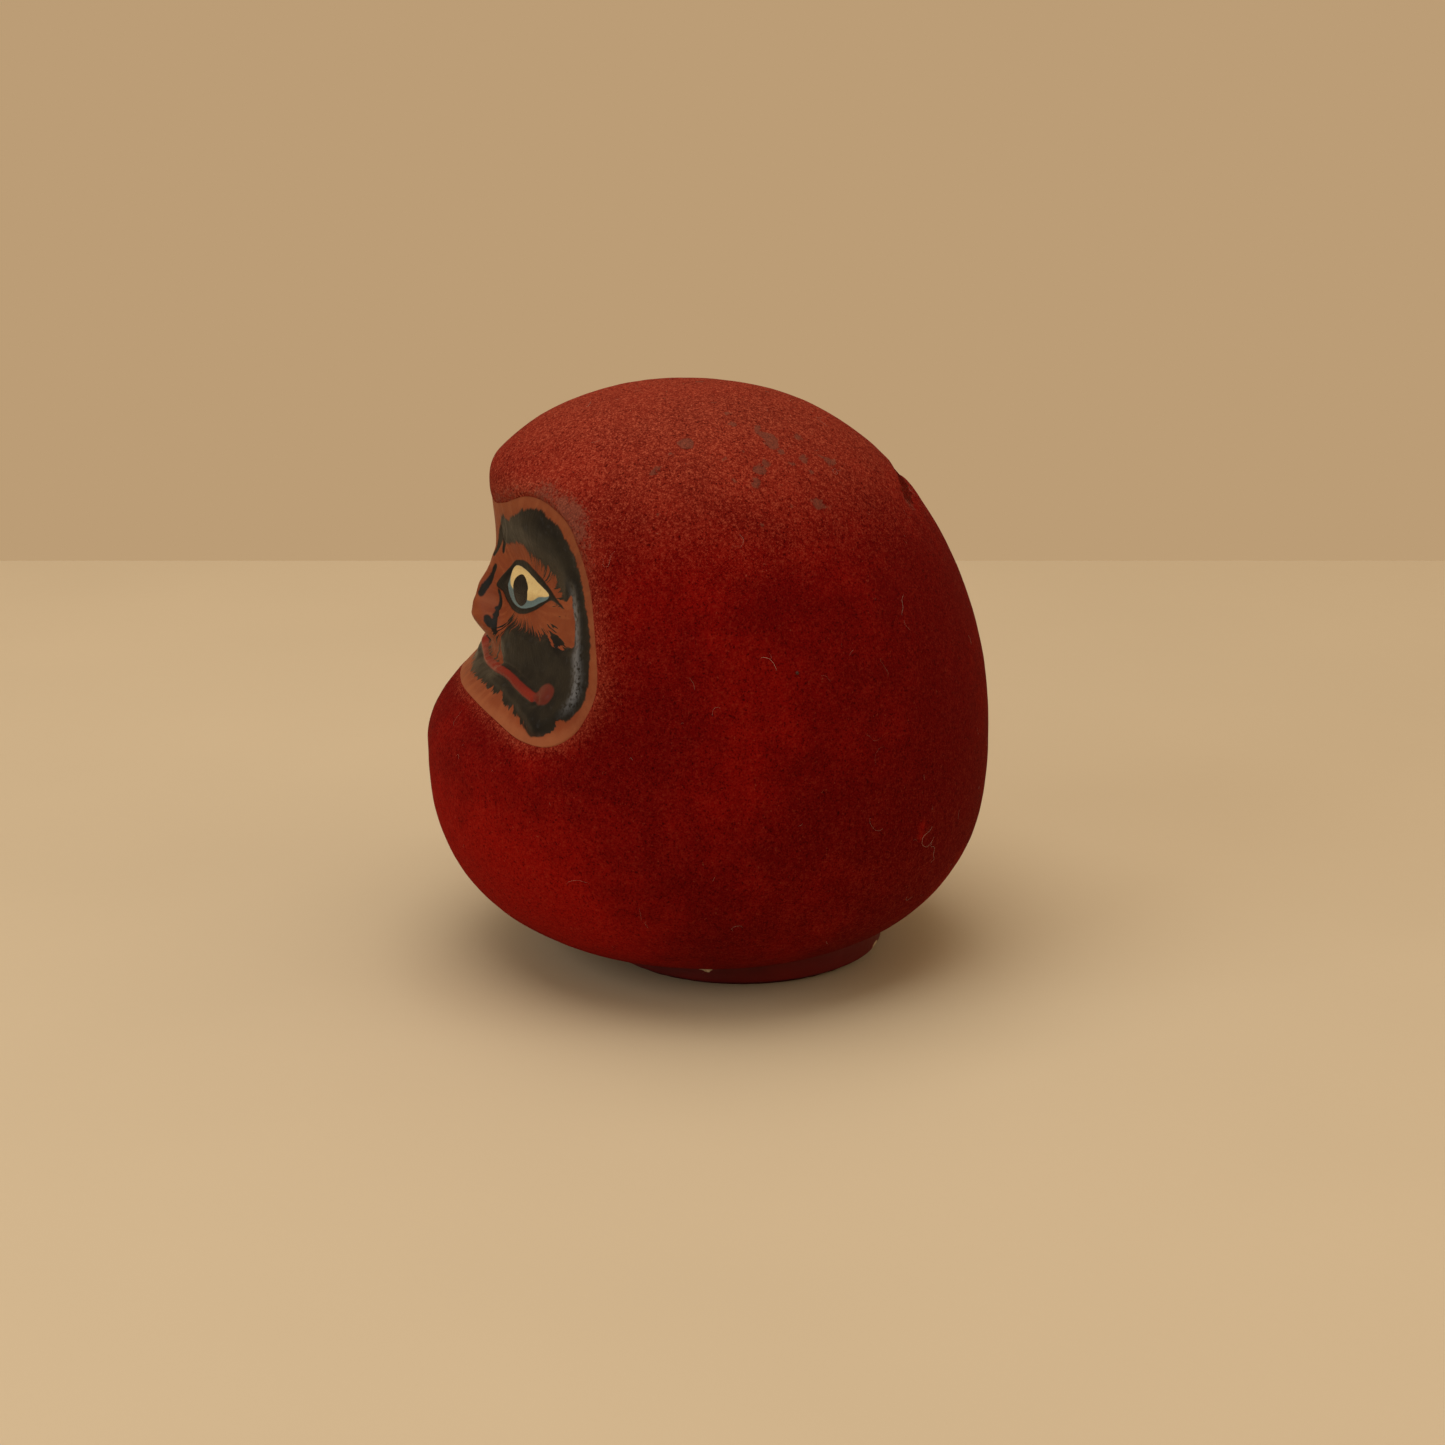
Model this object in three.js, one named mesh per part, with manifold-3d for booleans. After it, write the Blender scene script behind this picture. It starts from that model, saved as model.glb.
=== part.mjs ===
// Flocked daruma doll that is also a coin bank.
// Millimetres, +Z up. The doll faces -Y and stands on Z = 0, with the middle of its outline over the origin.
// A moulded pulp shell in two halves carries a relief face and a coat of red flock. A clay foot is
// glued under it as a weight, and a rubber stopper in the foot lets the coins out.
import * as THREE from "three";
import { mergeVertices } from "three/addons/utils/BufferGeometryUtils.js";
import Module from "manifold-3d";

const wasm = await Module();
wasm.setup();

// ---- driving dimensions --------------------------------------------------------------------------

const GAP = 0.3; // glue line between touching pieces

const BODY = {
  front: 53.8, // half-depth from the middle of the body to the belly
  back: 52.1, // half-depth to the back
  side: 52.2, // half-width
  waist: 42.4, // height of the widest level
  crown: 65.6, // waist to top
  keel: 41.0, // waist to the lowest point that the round underside would reach
  frontPower: 2.7, // how square the brow of the hood is
  backPower: 2.0, // how square the nape is
  lowPower: 2.65, // how square the belly is below the waist
};
const BODY_Y = (BODY.front - BODY.back) / 2; // puts the middle of the outline on the origin

const FLOCK = { thick: 0.8, rimGap: 0.4 };
const SHELL = { thick: 2.5, seamHalfGap: GAP / 2, underside: 4.6, holeRadius: 19 };
const FACE = {
  thick: 2.4, // gesso and paint built up on the shell
  recess: 11.5, // depth of the hollow under the hood
  halfWidth: 43, // half-width of that hollow at the cheeks
  power: 4.6, // how flat the hollow's floor is from side to side
  cheekLevel: 62, // height above which the hollow narrows to the hood
  hoodRise: 36, // height of that narrowing stretch
  hoodPower: 2.5, // how full the hood's arch is
  hoodTop: 95.3, // height where the hood starts to roll in
  hoodFloor: 84, // height where the roll reaches full depth
  chinLow: 42, // height where the belly starts to slope in to the chin
  chinHigh: 66.7, // height where that slope reaches full depth
  forwardLeast: 0.45, // the hollow ends where the skin faces this little forwards
  forwardBlend: 0.25,
  step: 0.9, // drop from the flock to the painted rim
  stepLow: 56, // height at the chin where that drop starts
  stepBlend: 8,
  proudMost: 0.2, // the paint stays this far inside the round skin
  middle: 74, // height of the point that the panel's rings run around
  rings: 10,
  segments: 52,
};

// Moulded features of the face. A height is how far it stands up from the floor of the hollow, a level is
// a height above the table, and widths and spreads run across and up the skin.
const KNOT = { height: 3.7, width: 8, level: 83.8, spread: 5.5 };
const BRIDGE = { height: 1, width: 3, top: 84, topBlend: 6, low: 74, lowBlend: 4 };
const NOSE = { height: 5, top: 82.8, slope: 10, low: 66, underside: 5, width: 3.3, flare: 3.2, flareTop: 78 };
const EYE = { height: 1.2, across: 17, level: 80.5, width: 9, spread: 6 };
const BROW = {
  height: 1.2,
  across: 15,
  level: 72,
  width: 20,
  spread: 18.5,
  crest: 0.88,
  ridge: 0.14,
  low: 66,
  blend: 8,
};

// Thickened stretch of the shell's wall behind the panel.
const BED = { margin: 4, blend: 6, low: 46, high: 98, forwardLeast: 0.35, forwardBlend: 0.2 };
const CUT = { proud: 12, deep: 25 }; // how far the face's cutters reach out of and into the body
const SLOT = { length: 36, width: 3.2, tilt: 54.5, from: 30, to: 75, flockMargin: 0.5 };
const TAPE = { halfWidth: 5, thick: 0.5, clearance: 0.6, endRadius: 23, steps: 40 };
const FOOT = {
  radius: 27.2,
  behind: 5.5, // how far the foot's axis lies behind the body's
  bevel: 0.6,
  wallTop: 8, // the wall is pressed up against the shell below this height
  boreRadius: 13.9,
  seatRadius: 17, // recess that the stopper's flange sits in
  seatTop: 3.4,
  spigotRadius: 18.7, // collar that locates the foot in the shell's hole
  spigotTop: 8.6,
  segments: 48,
};
const PAPER = { inner: 18, outer: 25.8, thick: 0.5 };
const STOPPER = {
  radius: 13.6,
  flangeRadius: 16.6,
  flangeLow: 1.4,
  flangeTop: 3.1,
  top: 9.4,
  lead: 0.9, // chamfer that leads the plug into the bore
  wall: 2.8,
  ridgeLength: 16,
  ridgeWidth: 2.4,
  ridgeLow: 0.6,
};
const GRID = { rows: 22, columns: 40 };

// Right half of the painted panel's outline, from the middle of the hood round to the middle of the
// chin, as distance from the centre line and height on the body's round skin.
const PANEL_OUTLINE = [
  [0, 91],
  [9, 92],
  [18, 93.5],
  [25.4, 92],
  [31.5, 88],
  [37.8, 79],
  [42.2, 65.5],
  [41.2, 57.5],
  [37, 52.5],
  [31, 52],
  [22, 54],
  [11, 55.4],
  [0, 55.7],
];

// ---- surface formulas ----------------------------------------------------------------------------

const DEGREE = Math.PI / 180;
const centre = new THREE.Vector3(0, BODY_Y, BODY.waist);

function smooth(t) {
  const u = Math.min(Math.max(t, 0), 1);
  return u * u * (3 - 2 * u);
}

function bump(offset, width) {
  return Math.exp(-((offset / width) ** 2));
}

// Unit direction from the body's centre: azimuth 0 is the front, elevation 0 the waist.
function direction(azimuth, elevation) {
  const level = Math.cos(elevation);
  return new THREE.Vector3(
    level * Math.sin(azimuth),
    -level * Math.cos(azimuth),
    Math.sin(elevation),
  );
}

// Horizontal radius and squareness of the body at one azimuth.
function girth(azimuth) {
  const depth = Math.cos(azimuth) > 0 ? BODY.front : BODY.back;
  const radius = 1 / Math.hypot(Math.cos(azimuth) / depth, Math.sin(azimuth) / BODY.side);
  const frontness = smooth((1 + Math.cos(azimuth)) / 2);
  const power = BODY.backPower + (BODY.frontPower - BODY.backPower) * frontness;
  return { radius, power };
}

// Distance from the centre to the round skin of the body, with no face and no flat underside.
function skinRadius(dir) {
  const { radius, power: upperPower } = girth(Math.atan2(dir.x, -dir.y));
  const power = dir.z > 0 ? upperPower : BODY.lowPower;
  const height = dir.z > 0 ? BODY.crown : BODY.keel;
  const level = Math.hypot(dir.x, dir.y);
  return ((level / radius) ** power + (Math.abs(dir.z) / height) ** power) ** (-1 / power);
}

// Direction of the point of the round skin at x across and z up, on the front of the doll.
function skinDirection(x, z) {
  const above = z > BODY.waist;
  const rise = Math.abs(z - BODY.waist) / (above ? BODY.crown : BODY.keel);
  let azimuth = Math.asin(x / BODY.side);
  let level = 0;
  for (let pass = 0; pass < 12; pass++) {
    const { radius, power: upperPower } = girth(azimuth);
    const power = above ? upperPower : BODY.lowPower;
    level = radius * (1 - rise ** power) ** (1 / power);
    azimuth = Math.asin(x / level);
  }
  return direction(azimuth, Math.atan2(z - BODY.waist, level));
}

// Where a direction meets the round skin: distance across, height, and how far it faces forwards.
function skinSpot(dir) {
  const radius = skinRadius(dir);
  const level = Math.hypot(dir.x, dir.y);
  const forward = level > 0 ? -dir.y / level : 0;
  return { x: radius * dir.x, z: BODY.waist + radius * dir.z, forward };
}

// Depth of the hollow that the hood and the chin leave for the face.
function hollow(dir) {
  const { x, z, forward } = skinSpot(dir);
  const rise = Math.min(Math.max((z - FACE.cheekLevel) / FACE.hoodRise, 0), 0.999);
  const halfWidth = FACE.halfWidth * Math.sqrt(1 - rise ** FACE.hoodPower);
  const across = Math.max(1 - (Math.abs(x) / halfWidth) ** FACE.power, 0);
  const around = smooth((forward - FACE.forwardLeast) / FACE.forwardBlend);
  const underHood = smooth((FACE.hoodTop - z) / (FACE.hoodTop - FACE.hoodFloor));
  const overChin = smooth((z - FACE.chinLow) / (FACE.chinHigh - FACE.chinLow));
  return FACE.recess * across * around * underHood * overChin;
}

// Height of the moulded features above the floor of the hollow: brow knot, nose, eyes and brows.
function features(dir) {
  const { x, z } = skinSpot(dir);
  const side = Math.abs(x);
  const knot = KNOT.height * bump(side, KNOT.width) * bump(z - KNOT.level, KNOT.spread);
  const bridgeTop = smooth((BRIDGE.top - z) / BRIDGE.topBlend);
  const bridgeLow = smooth((z - BRIDGE.low) / BRIDGE.lowBlend);
  const bridge = BRIDGE.height * bump(side, BRIDGE.width) * bridgeTop * bridgeLow;
  const noseRise = smooth((NOSE.top - z) / NOSE.slope) * smooth((z - NOSE.low) / NOSE.underside);
  const nostrils = NOSE.width + NOSE.flare * smooth((NOSE.flareTop - z) / NOSE.slope);
  const nose = NOSE.height * noseRise * bump(side, nostrils);
  const eyeShare = 1 - ((side - EYE.across) / EYE.width) ** 2 - ((z - EYE.level) / EYE.spread) ** 2;
  const eye = EYE.height * Math.max(eyeShare, 0);
  const arc = Math.hypot((side - BROW.across) / BROW.width, (z - BROW.level) / BROW.spread);
  const browEnds = smooth((z - BROW.low) / BROW.blend) * smooth(side / BROW.blend);
  const brow = BROW.height * bump(arc - BROW.crest, BROW.ridge) * browEnds;
  return knot + bridge + nose + eye + brow;
}

// A point at a depth below the body's skin, with or without the flat underside.
function pointAt(dir, depth, underside = -Infinity) {
  let radius = skinRadius(dir) - depth;
  if (dir.z < 0) radius = Math.min(radius, (BODY.waist - underside) / -dir.z);
  return centre.clone().addScaledVector(dir, radius);
}

// How far inside the painted panel a direction is: 0 outside it, 1 well inside it.
function panelShare(dir) {
  const { x, z, forward } = skinSpot(dir);
  const across = smooth((FACE.halfWidth + BED.margin - Math.abs(x)) / BED.blend);
  const around = smooth((forward - BED.forwardLeast) / BED.forwardBlend);
  return across * around * smooth((BED.high - z) / BED.blend) * smooth((z - BED.low) / BED.blend);
}

// ---- mesh helpers --------------------------------------------------------------------------------

function geometryFrom(points, triangles) {
  const geometry = new THREE.BufferGeometry();
  const numbers = points.flatMap((p) => [p.x, p.y, p.z]);
  geometry.setAttribute("position", new THREE.Float32BufferAttribute(numbers, 3));
  geometry.setIndex(triangles);
  return geometry;
}

// A closed surface with one point in each direction of a grid of rows and columns.
function starGeometry(place) {
  const points = [place(direction(0, -Math.PI / 2))];
  for (let row = 1; row < GRID.rows; row++) {
    const elevation = Math.PI * (row / GRID.rows - 0.5);
    for (let column = 0; column < GRID.columns; column++) {
      points.push(place(direction((2 * Math.PI * column) / GRID.columns, elevation)));
    }
  }
  points.push(place(direction(0, Math.PI / 2)));
  const top = points.length - 1;
  const at = (row, column) => 1 + (row - 1) * GRID.columns + (column % GRID.columns);
  const triangles = [];
  for (let column = 0; column < GRID.columns; column++) {
    triangles.push(0, at(1, column + 1), at(1, column));
    triangles.push(top, at(GRID.rows - 1, column), at(GRID.rows - 1, column + 1));
    for (let row = 1; row < GRID.rows - 1; row++) {
      triangles.push(at(row, column), at(row, column + 1), at(row + 1, column + 1));
      triangles.push(at(row, column), at(row + 1, column + 1), at(row + 1, column));
    }
  }
  return geometryFrom(points, triangles);
}

// A closed slab between an inner and an outer sheet, both laid out in rings about a middle point.
function slabGeometry(rings, segments, placeInner, placeOuter) {
  const points = [];
  for (const place of [placeInner, placeOuter]) {
    points.push(place(0, 0));
    for (let ring = 1; ring <= rings; ring++) {
      for (let k = 0; k < segments; k++) points.push(place(ring / rings, k / segments));
    }
  }
  const sheet = 1 + rings * segments;
  const at = (layer, ring, k) => layer * sheet + 1 + (ring - 1) * segments + (k % segments);
  const triangles = [];
  const face = (layer, a, b, c) => triangles.push(...(layer ? [a, b, c] : [a, c, b]));
  for (let k = 0; k < segments; k++) {
    for (const layer of [0, 1]) {
      face(layer, layer * sheet, at(layer, 1, k), at(layer, 1, k + 1));
      for (let ring = 1; ring < rings; ring++) {
        face(layer, at(layer, ring, k), at(layer, ring + 1, k), at(layer, ring + 1, k + 1));
        face(layer, at(layer, ring, k), at(layer, ring + 1, k + 1), at(layer, ring, k + 1));
      }
    }
    triangles.push(at(0, rings, k), at(0, rings, k + 1), at(1, rings, k + 1));
    triangles.push(at(0, rings, k), at(1, rings, k + 1), at(1, rings, k));
  }
  return geometryFrom(points, triangles);
}

function solid(geometry) {
  const bare = geometry.clone();
  bare.deleteAttribute("normal");
  bare.deleteAttribute("uv");
  const merged = mergeVertices(bare, 1e-4);
  return new wasm.Manifold(
    new wasm.Mesh({
      numProp: 3,
      vertProperties: new Float32Array(merged.getAttribute("position").array),
      triVerts: new Uint32Array(merged.index.array),
    }),
  );
}

function geometryOf(body) {
  const { vertProperties, triVerts } = body.getMesh();
  const geometry = new THREE.BufferGeometry();
  geometry.setAttribute("position", new THREE.Float32BufferAttribute(vertProperties, 3));
  geometry.setIndex(Array.from(triVerts));
  return geometry;
}

// A solid of revolution about the foot's axis, from a closed profile of [radius, height] points.
function turned(profile) {
  const points = profile.map(([radius, height]) => new THREE.Vector2(radius, height));
  const lathe = new THREE.LatheGeometry(points, FOOT.segments);
  lathe.rotateX(Math.PI / 2);
  lathe.translate(0, BODY_Y + FOOT.behind, 0);
  return solid(lathe);
}

function cylinder(radius, low, high) {
  return turned([
    [0, low],
    [radius, low],
    [radius, high],
    [0, high],
  ]);
}

// ---- cutters -------------------------------------------------------------------------------------

// A round-ended bar along X that cuts the coin slot square to the nape.
function slotCutter(margin) {
  const half = SLOT.length / 2 + margin;
  const end = SLOT.width / 2 + margin;
  const shape = new THREE.Shape();
  shape.moveTo(-half + end, -end);
  shape.lineTo(half - end, -end);
  shape.absarc(half - end, 0, end, -Math.PI / 2, Math.PI / 2, false);
  shape.lineTo(-half + end, end);
  shape.absarc(-half + end, 0, end, Math.PI / 2, (3 * Math.PI) / 2, false);
  const bar = new THREE.ExtrudeGeometry(shape, {
    depth: SLOT.to - SLOT.from,
    bevelEnabled: false,
    curveSegments: 5,
  });
  bar.translate(0, 0, SLOT.from);
  bar.rotateX((SLOT.tilt - 90) * DEGREE);
  bar.translate(0, BODY_Y, BODY.waist);
  return solid(bar);
}

// The panel's outline as a curve of skin positions, grown outwards by a margin.
function panelCurve(margin) {
  const right = PANEL_OUTLINE.map(([x, z]) => new THREE.Vector2(x, z));
  const left = right
    .slice(1, -1)
    .reverse()
    .map((p) => new THREE.Vector2(-p.x, p.y));
  const loop = [...right, ...left].map((p) => new THREE.Vector3(p.x, p.y, 0));
  const curve = new THREE.CatmullRomCurve3(loop, true, "centripetal");
  const middle = new THREE.Vector3(0, FACE.middle, 0);
  return (turn, share) => {
    const point = curve.getPointAt(1 - (turn % 1));
    const away = point.clone().sub(middle);
    away.multiplyScalar((1 + margin / away.length()) * share);
    return away.add(middle);
  };
}

function panelSlab(margin, depthInner, depthOuter) {
  const outline = panelCurve(margin);
  const place = (depthOf) => (share, turn) => {
    const spot = outline(turn, share);
    const dir = skinDirection(spot.x, spot.y);
    return pointAt(dir, depthOf(dir));
  };
  return solid(slabGeometry(FACE.rings, FACE.segments, place(depthInner), place(depthOuter)));
}

// ---- pieces --------------------------------------------------------------------------------------

const frontHalf = solid(
  new THREE.BoxGeometry(200, 100, 200).translate(0, BODY_Y - 50 - SHELL.seamHalfGap, 50),
);
const rearHalf = solid(
  new THREE.BoxGeometry(200, 100, 200).translate(0, BODY_Y + 50 + SHELL.seamHalfGap, 50),
);

// Painted relief: a slab that keeps one thickness behind the hollow and stands up at the features.
const rimStep = (dir) => FACE.step * smooth((skinSpot(dir).z - FACE.stepLow) / FACE.stepBlend);
const paintedDepth = (dir) => Math.max(hollow(dir) + rimStep(dir) - features(dir), FACE.proudMost);
const bedDepth = (dir) => hollow(dir) + FACE.step + FACE.thick;
const faceRelief = panelSlab(-FLOCK.rimGap, bedDepth, paintedDepth);
const faceBed = panelSlab(GAP, (dir) => bedDepth(dir) + GAP, () => -CUT.proud);
const faceOpening = panelSlab(0, () => CUT.deep, () => -CUT.proud);

// Flock: an even coat over the whole body, open at the face, the slot and the foot.
const coatFloor = SHELL.underside - GAP - FLOCK.thick;
const coatOuter = solid(starGeometry((dir) => pointAt(dir, hollow(dir), coatFloor)));
const coatInner = solid(
  starGeometry((dir) => pointAt(dir, hollow(dir) + FLOCK.thick, coatFloor + FLOCK.thick)),
);
const flockCoat = coatOuter
  .subtract(coatInner)
  .subtract(faceOpening)
  .subtract(slotCutter(SLOT.flockMargin))
  .subtract(cylinder(FOOT.radius + GAP, -5, 12));

// Shell: pulp wall with a hole in its floor, a bed for the face and the slot through the nape.
const shellDepth = (dir) => hollow(dir) + FLOCK.thick + GAP;
const innerDepth = (dir) => shellDepth(dir) + SHELL.thick + (FACE.thick + FACE.step) * panelShare(dir);
const shellFloor = SHELL.underside + SHELL.thick;
const shellOuter = solid(starGeometry((dir) => pointAt(dir, shellDepth(dir), SHELL.underside)));
const shellInner = solid(starGeometry((dir) => pointAt(dir, innerDepth(dir), shellFloor)));
const shell = shellOuter
  .subtract(shellInner)
  .subtract(cylinder(SHELL.holeRadius, -5, 20))
  .subtract(faceBed)
  .subtract(slotCutter(0));
const frontShell = shell.intersect(frontHalf);
const rearShell = shell.intersect(rearHalf);

// Paper strip pasted over the seam inside the shell, from one side of the floor over to the other.
function seamTape() {
  const lowAngle = -Math.atan2(BODY.waist - shellFloor, TAPE.endRadius);
  const ring = (step) => {
    const elevation = lowAngle + ((Math.PI - 2 * lowAngle) * step) / TAPE.steps;
    const places = [];
    for (const depth of [TAPE.clearance + GAP, TAPE.clearance + GAP + TAPE.thick]) {
      for (const across of [-1, 0, 1]) {
        const dir = new THREE.Vector3(Math.cos(elevation), 0, Math.sin(elevation));
        dir.y = (across * TAPE.halfWidth) / pointAt(dir, 0).distanceTo(centre);
        dir.normalize();
        places.push(pointAt(dir, innerDepth(dir) + depth, shellFloor + depth));
      }
    }
    return places;
  };
  const points = [];
  for (let step = 0; step <= TAPE.steps; step++) points.push(...ring(step));
  const around = [0, 1, 2, 5, 4, 3]; // outer sheet one way, inner sheet back
  const count = around.length;
  const triangles = [];
  for (let step = 0; step < TAPE.steps; step++) {
    for (let k = 0; k < count; k++) {
      const a = step * count + around[k];
      const b = step * count + around[(k + 1) % count];
      triangles.push(a, b, b + count, a, b + count, a + count);
    }
  }
  const last = TAPE.steps * count;
  for (const [a, b, c] of [[0, 4, 1], [0, 3, 4], [1, 5, 2], [1, 4, 5]]) {
    triangles.push(a, b, c, last + a, last + c, last + b);
  }
  return solid(geometryFrom(points, triangles));
}

// Clay foot: a turned wall pressed up against the shell, with a collar up through the shell's floor
// and a seat for the stopper.
const footLow = PAPER.thick + GAP;
const shellPress = solid(
  starGeometry((dir) => pointAt(dir, shellDepth(dir) - GAP, SHELL.underside - GAP)),
);
const footWall = turned([
  [FOOT.seatRadius, footLow],
  [FOOT.radius - FOOT.bevel, footLow],
  [FOOT.radius, footLow + FOOT.bevel],
  [FOOT.radius, FOOT.wallTop],
  [FOOT.seatRadius, FOOT.wallTop],
  [FOOT.seatRadius, footLow],
]);
const footCollar = turned([
  [FOOT.boreRadius, FOOT.seatTop],
  [FOOT.spigotRadius, FOOT.seatTop],
  [FOOT.spigotRadius, FOOT.spigotTop],
  [FOOT.boreRadius, FOOT.spigotTop],
  [FOOT.boreRadius, FOOT.seatTop],
]);
const baseWeight = footWall.subtract(shellPress).add(footCollar);

const basePaper = turned([
  [PAPER.inner, 0],
  [PAPER.outer, 0],
  [PAPER.outer, PAPER.thick],
  [PAPER.inner, PAPER.thick],
  [PAPER.inner, 0],
]);

// Rubber stopper: a hollow plug under a flange, with a ridge across the flange to pull it by.
function rubberStopper() {
  const bore = STOPPER.radius - STOPPER.wall;
  const plug = turned([
    [0, STOPPER.flangeLow],
    [STOPPER.flangeRadius, STOPPER.flangeLow],
    [STOPPER.flangeRadius, STOPPER.flangeTop],
    [STOPPER.radius, STOPPER.flangeTop],
    [STOPPER.radius, STOPPER.top - STOPPER.lead],
    [STOPPER.radius - STOPPER.lead, STOPPER.top],
    [bore, STOPPER.top],
    [bore, STOPPER.flangeTop],
    [0, STOPPER.flangeTop],
  ]);
  const depth = STOPPER.flangeTop - STOPPER.ridgeLow;
  const ridge = new THREE.BoxGeometry(STOPPER.ridgeLength, STOPPER.ridgeWidth, depth);
  ridge.translate(0, BODY_Y + FOOT.behind, STOPPER.ridgeLow + depth / 2);
  return plug.add(solid(ridge));
}

// ---- assembly ------------------------------------------------------------------------------------

const finishes = {
  front_shell: { color: 0x8f7f6a, roughness: 0.9, body: frontShell },
  rear_shell: { color: 0x8f7f6a, roughness: 0.9, body: rearShell },
  seam_tape: { color: 0xd8cdb4, roughness: 0.85, body: seamTape() },
  flock_coat: { color: 0x86180f, roughness: 1.0, body: flockCoat },
  face_relief: { color: 0x9a4a27, roughness: 0.45, body: faceRelief },
  base_weight: { color: 0x4a0c08, roughness: 0.5, body: baseWeight },
  base_paper: { color: 0xb9a888, roughness: 0.9, body: basePaper },
  stopper: { color: 0x1d1a18, roughness: 0.7, body: rubberStopper() },
};

const doll = new THREE.Group();
for (const [name, { color, roughness, body }] of Object.entries(finishes)) {
  const finish = new THREE.MeshStandardMaterial({ color, roughness, metalness: 0 });
  const mesh = new THREE.Mesh(geometryOf(body), finish);
  mesh.name = name;
  doll.add(mesh);
}

export default doll;
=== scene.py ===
"""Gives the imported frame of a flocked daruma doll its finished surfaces.

The doll is a coin bank: a pulp shell with a painted relief face, a coat of red flock, a clay foot
and a rubber stopper. Each operator below makes one piece, or one group of like pieces.
"""

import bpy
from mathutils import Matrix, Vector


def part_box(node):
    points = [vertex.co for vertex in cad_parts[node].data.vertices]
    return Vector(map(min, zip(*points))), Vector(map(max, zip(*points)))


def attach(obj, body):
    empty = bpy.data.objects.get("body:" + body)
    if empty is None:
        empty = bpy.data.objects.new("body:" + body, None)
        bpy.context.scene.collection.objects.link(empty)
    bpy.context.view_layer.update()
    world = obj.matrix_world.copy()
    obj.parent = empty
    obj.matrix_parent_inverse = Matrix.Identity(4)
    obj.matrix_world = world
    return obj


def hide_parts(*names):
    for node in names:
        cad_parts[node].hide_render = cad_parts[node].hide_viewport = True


bl_info = {
    "name": "Flocked Daruma Coin Bank",
    "version": (1, 0, 0),
    "blender": (4, 5, 0),
    "location": "View3D > Sidebar > Daruma",
    "description": "Makes the surfaces of a flocked daruma doll around its frame",
    "category": "Add Mesh",
}

import math

import bpy
import numpy as np
from bpy.props import FloatProperty, FloatVectorProperty, IntProperty, PointerProperty
from mathutils import Vector, noise

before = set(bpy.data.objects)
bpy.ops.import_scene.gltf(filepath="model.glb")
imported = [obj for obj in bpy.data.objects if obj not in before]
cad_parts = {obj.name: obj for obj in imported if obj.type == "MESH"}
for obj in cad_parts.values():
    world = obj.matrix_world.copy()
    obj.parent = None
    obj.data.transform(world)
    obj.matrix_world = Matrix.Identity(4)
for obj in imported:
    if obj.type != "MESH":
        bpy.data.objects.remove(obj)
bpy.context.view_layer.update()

# ---- the doll's form -----------------------------------------------------------------------------
# These formulas work in millimetres, and MM turns their results into metres. A place on the doll is
# often given in skin coordinates: how far across and how high the round skin is there, before the
# face is hollowed into it.

MM = 0.001
WAIST = 42.4  # height of the widest level
FRONT, BACK, SIDE = 53.8, 52.1, 52.2  # half-depths and half-width at the waist
CROWN, KEEL = 65.6, 41.0  # reach of the round skin above and below the waist
FRONT_POWER, BACK_POWER, LOW_POWER = 2.7, 2.0, 2.65  # how square the brow, nape and belly are
BODY_Y = (FRONT - BACK) / 2
CENTRE = np.array((0.0, BODY_Y, WAIST))
RECESS, CHEEK_WIDTH, CHEEK_POWER = 11.5, 43.0, 4.6  # depth, half-width and flatness of the hollow
CHEEK_LEVEL, HOOD_RISE, HOOD_POWER = 62.0, 36.0, 2.5  # how the hollow narrows up to the hood
HOOD_TOP, HOOD_BLEND, CHIN, CHIN_BLEND = 95.3, 11.3, 42.0, 24.7  # where it runs out, above and below
TURN_START, TURN_BLEND = 0.45, 0.25  # how far forwards the skin faces where the hollow begins
STEP, STEP_LOW, STEP_BLEND, PROUDEST = 0.9, 56.0, 8.0, 0.2  # the face's floor below the flock
COAT_FLOOR = 3.5  # underside of the flock
FACE_MIDDLE = (0.0, 74.0)  # skin coordinates that the panel's rings run around


def smooth(t):
    t = np.clip(t, 0.0, 1.0)
    return t * t * (3.0 - 2.0 * t)


def bump(offset, width):
    return np.exp(-((offset / width) ** 2))


def girth(azimuth):
    """Horizontal radius and upper squareness of the body at an azimuth, 0 being the front."""
    depth = np.where(np.cos(azimuth) > 0, FRONT, BACK)
    radius = 1 / np.hypot(np.cos(azimuth) / depth, np.sin(azimuth) / SIDE)
    power = BACK_POWER + (FRONT_POWER - BACK_POWER) * smooth((1 + np.cos(azimuth)) / 2)
    return radius, power


def skin_radius(ways):
    """Distance from the centre to the round skin, along unit directions."""
    radius, upper_power = girth(np.arctan2(ways[..., 0], -ways[..., 1]))
    above = ways[..., 2] > 0
    power = np.where(above, upper_power, LOW_POWER)
    reach = np.where(above, CROWN, KEEL)
    level = np.hypot(ways[..., 0], ways[..., 1])
    return ((level / radius) ** power + (np.abs(ways[..., 2]) / reach) ** power) ** (-1 / power)


def skin_way(x, z):
    """Unit direction from the centre to a place on the front, given in skin coordinates."""
    x, z = np.asarray(x, float), np.asarray(z, float)
    above = z > WAIST
    rise = np.clip(np.abs(z - WAIST) / np.where(above, CROWN, KEEL), 0, 0.9999)
    azimuth = np.arcsin(np.clip(x / SIDE, -1, 1))
    for _ in range(14):
        radius, upper_power = girth(azimuth)
        power = np.where(above, upper_power, LOW_POWER)
        level = radius * (1 - rise**power) ** (1 / power)
        azimuth = np.arcsin(np.clip(x / level, -1, 1))
    lift = np.arctan2(z - WAIST, level)
    flat = np.cos(lift)
    return np.stack((flat * np.sin(azimuth), -flat * np.cos(azimuth), np.sin(lift)), -1)


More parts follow.
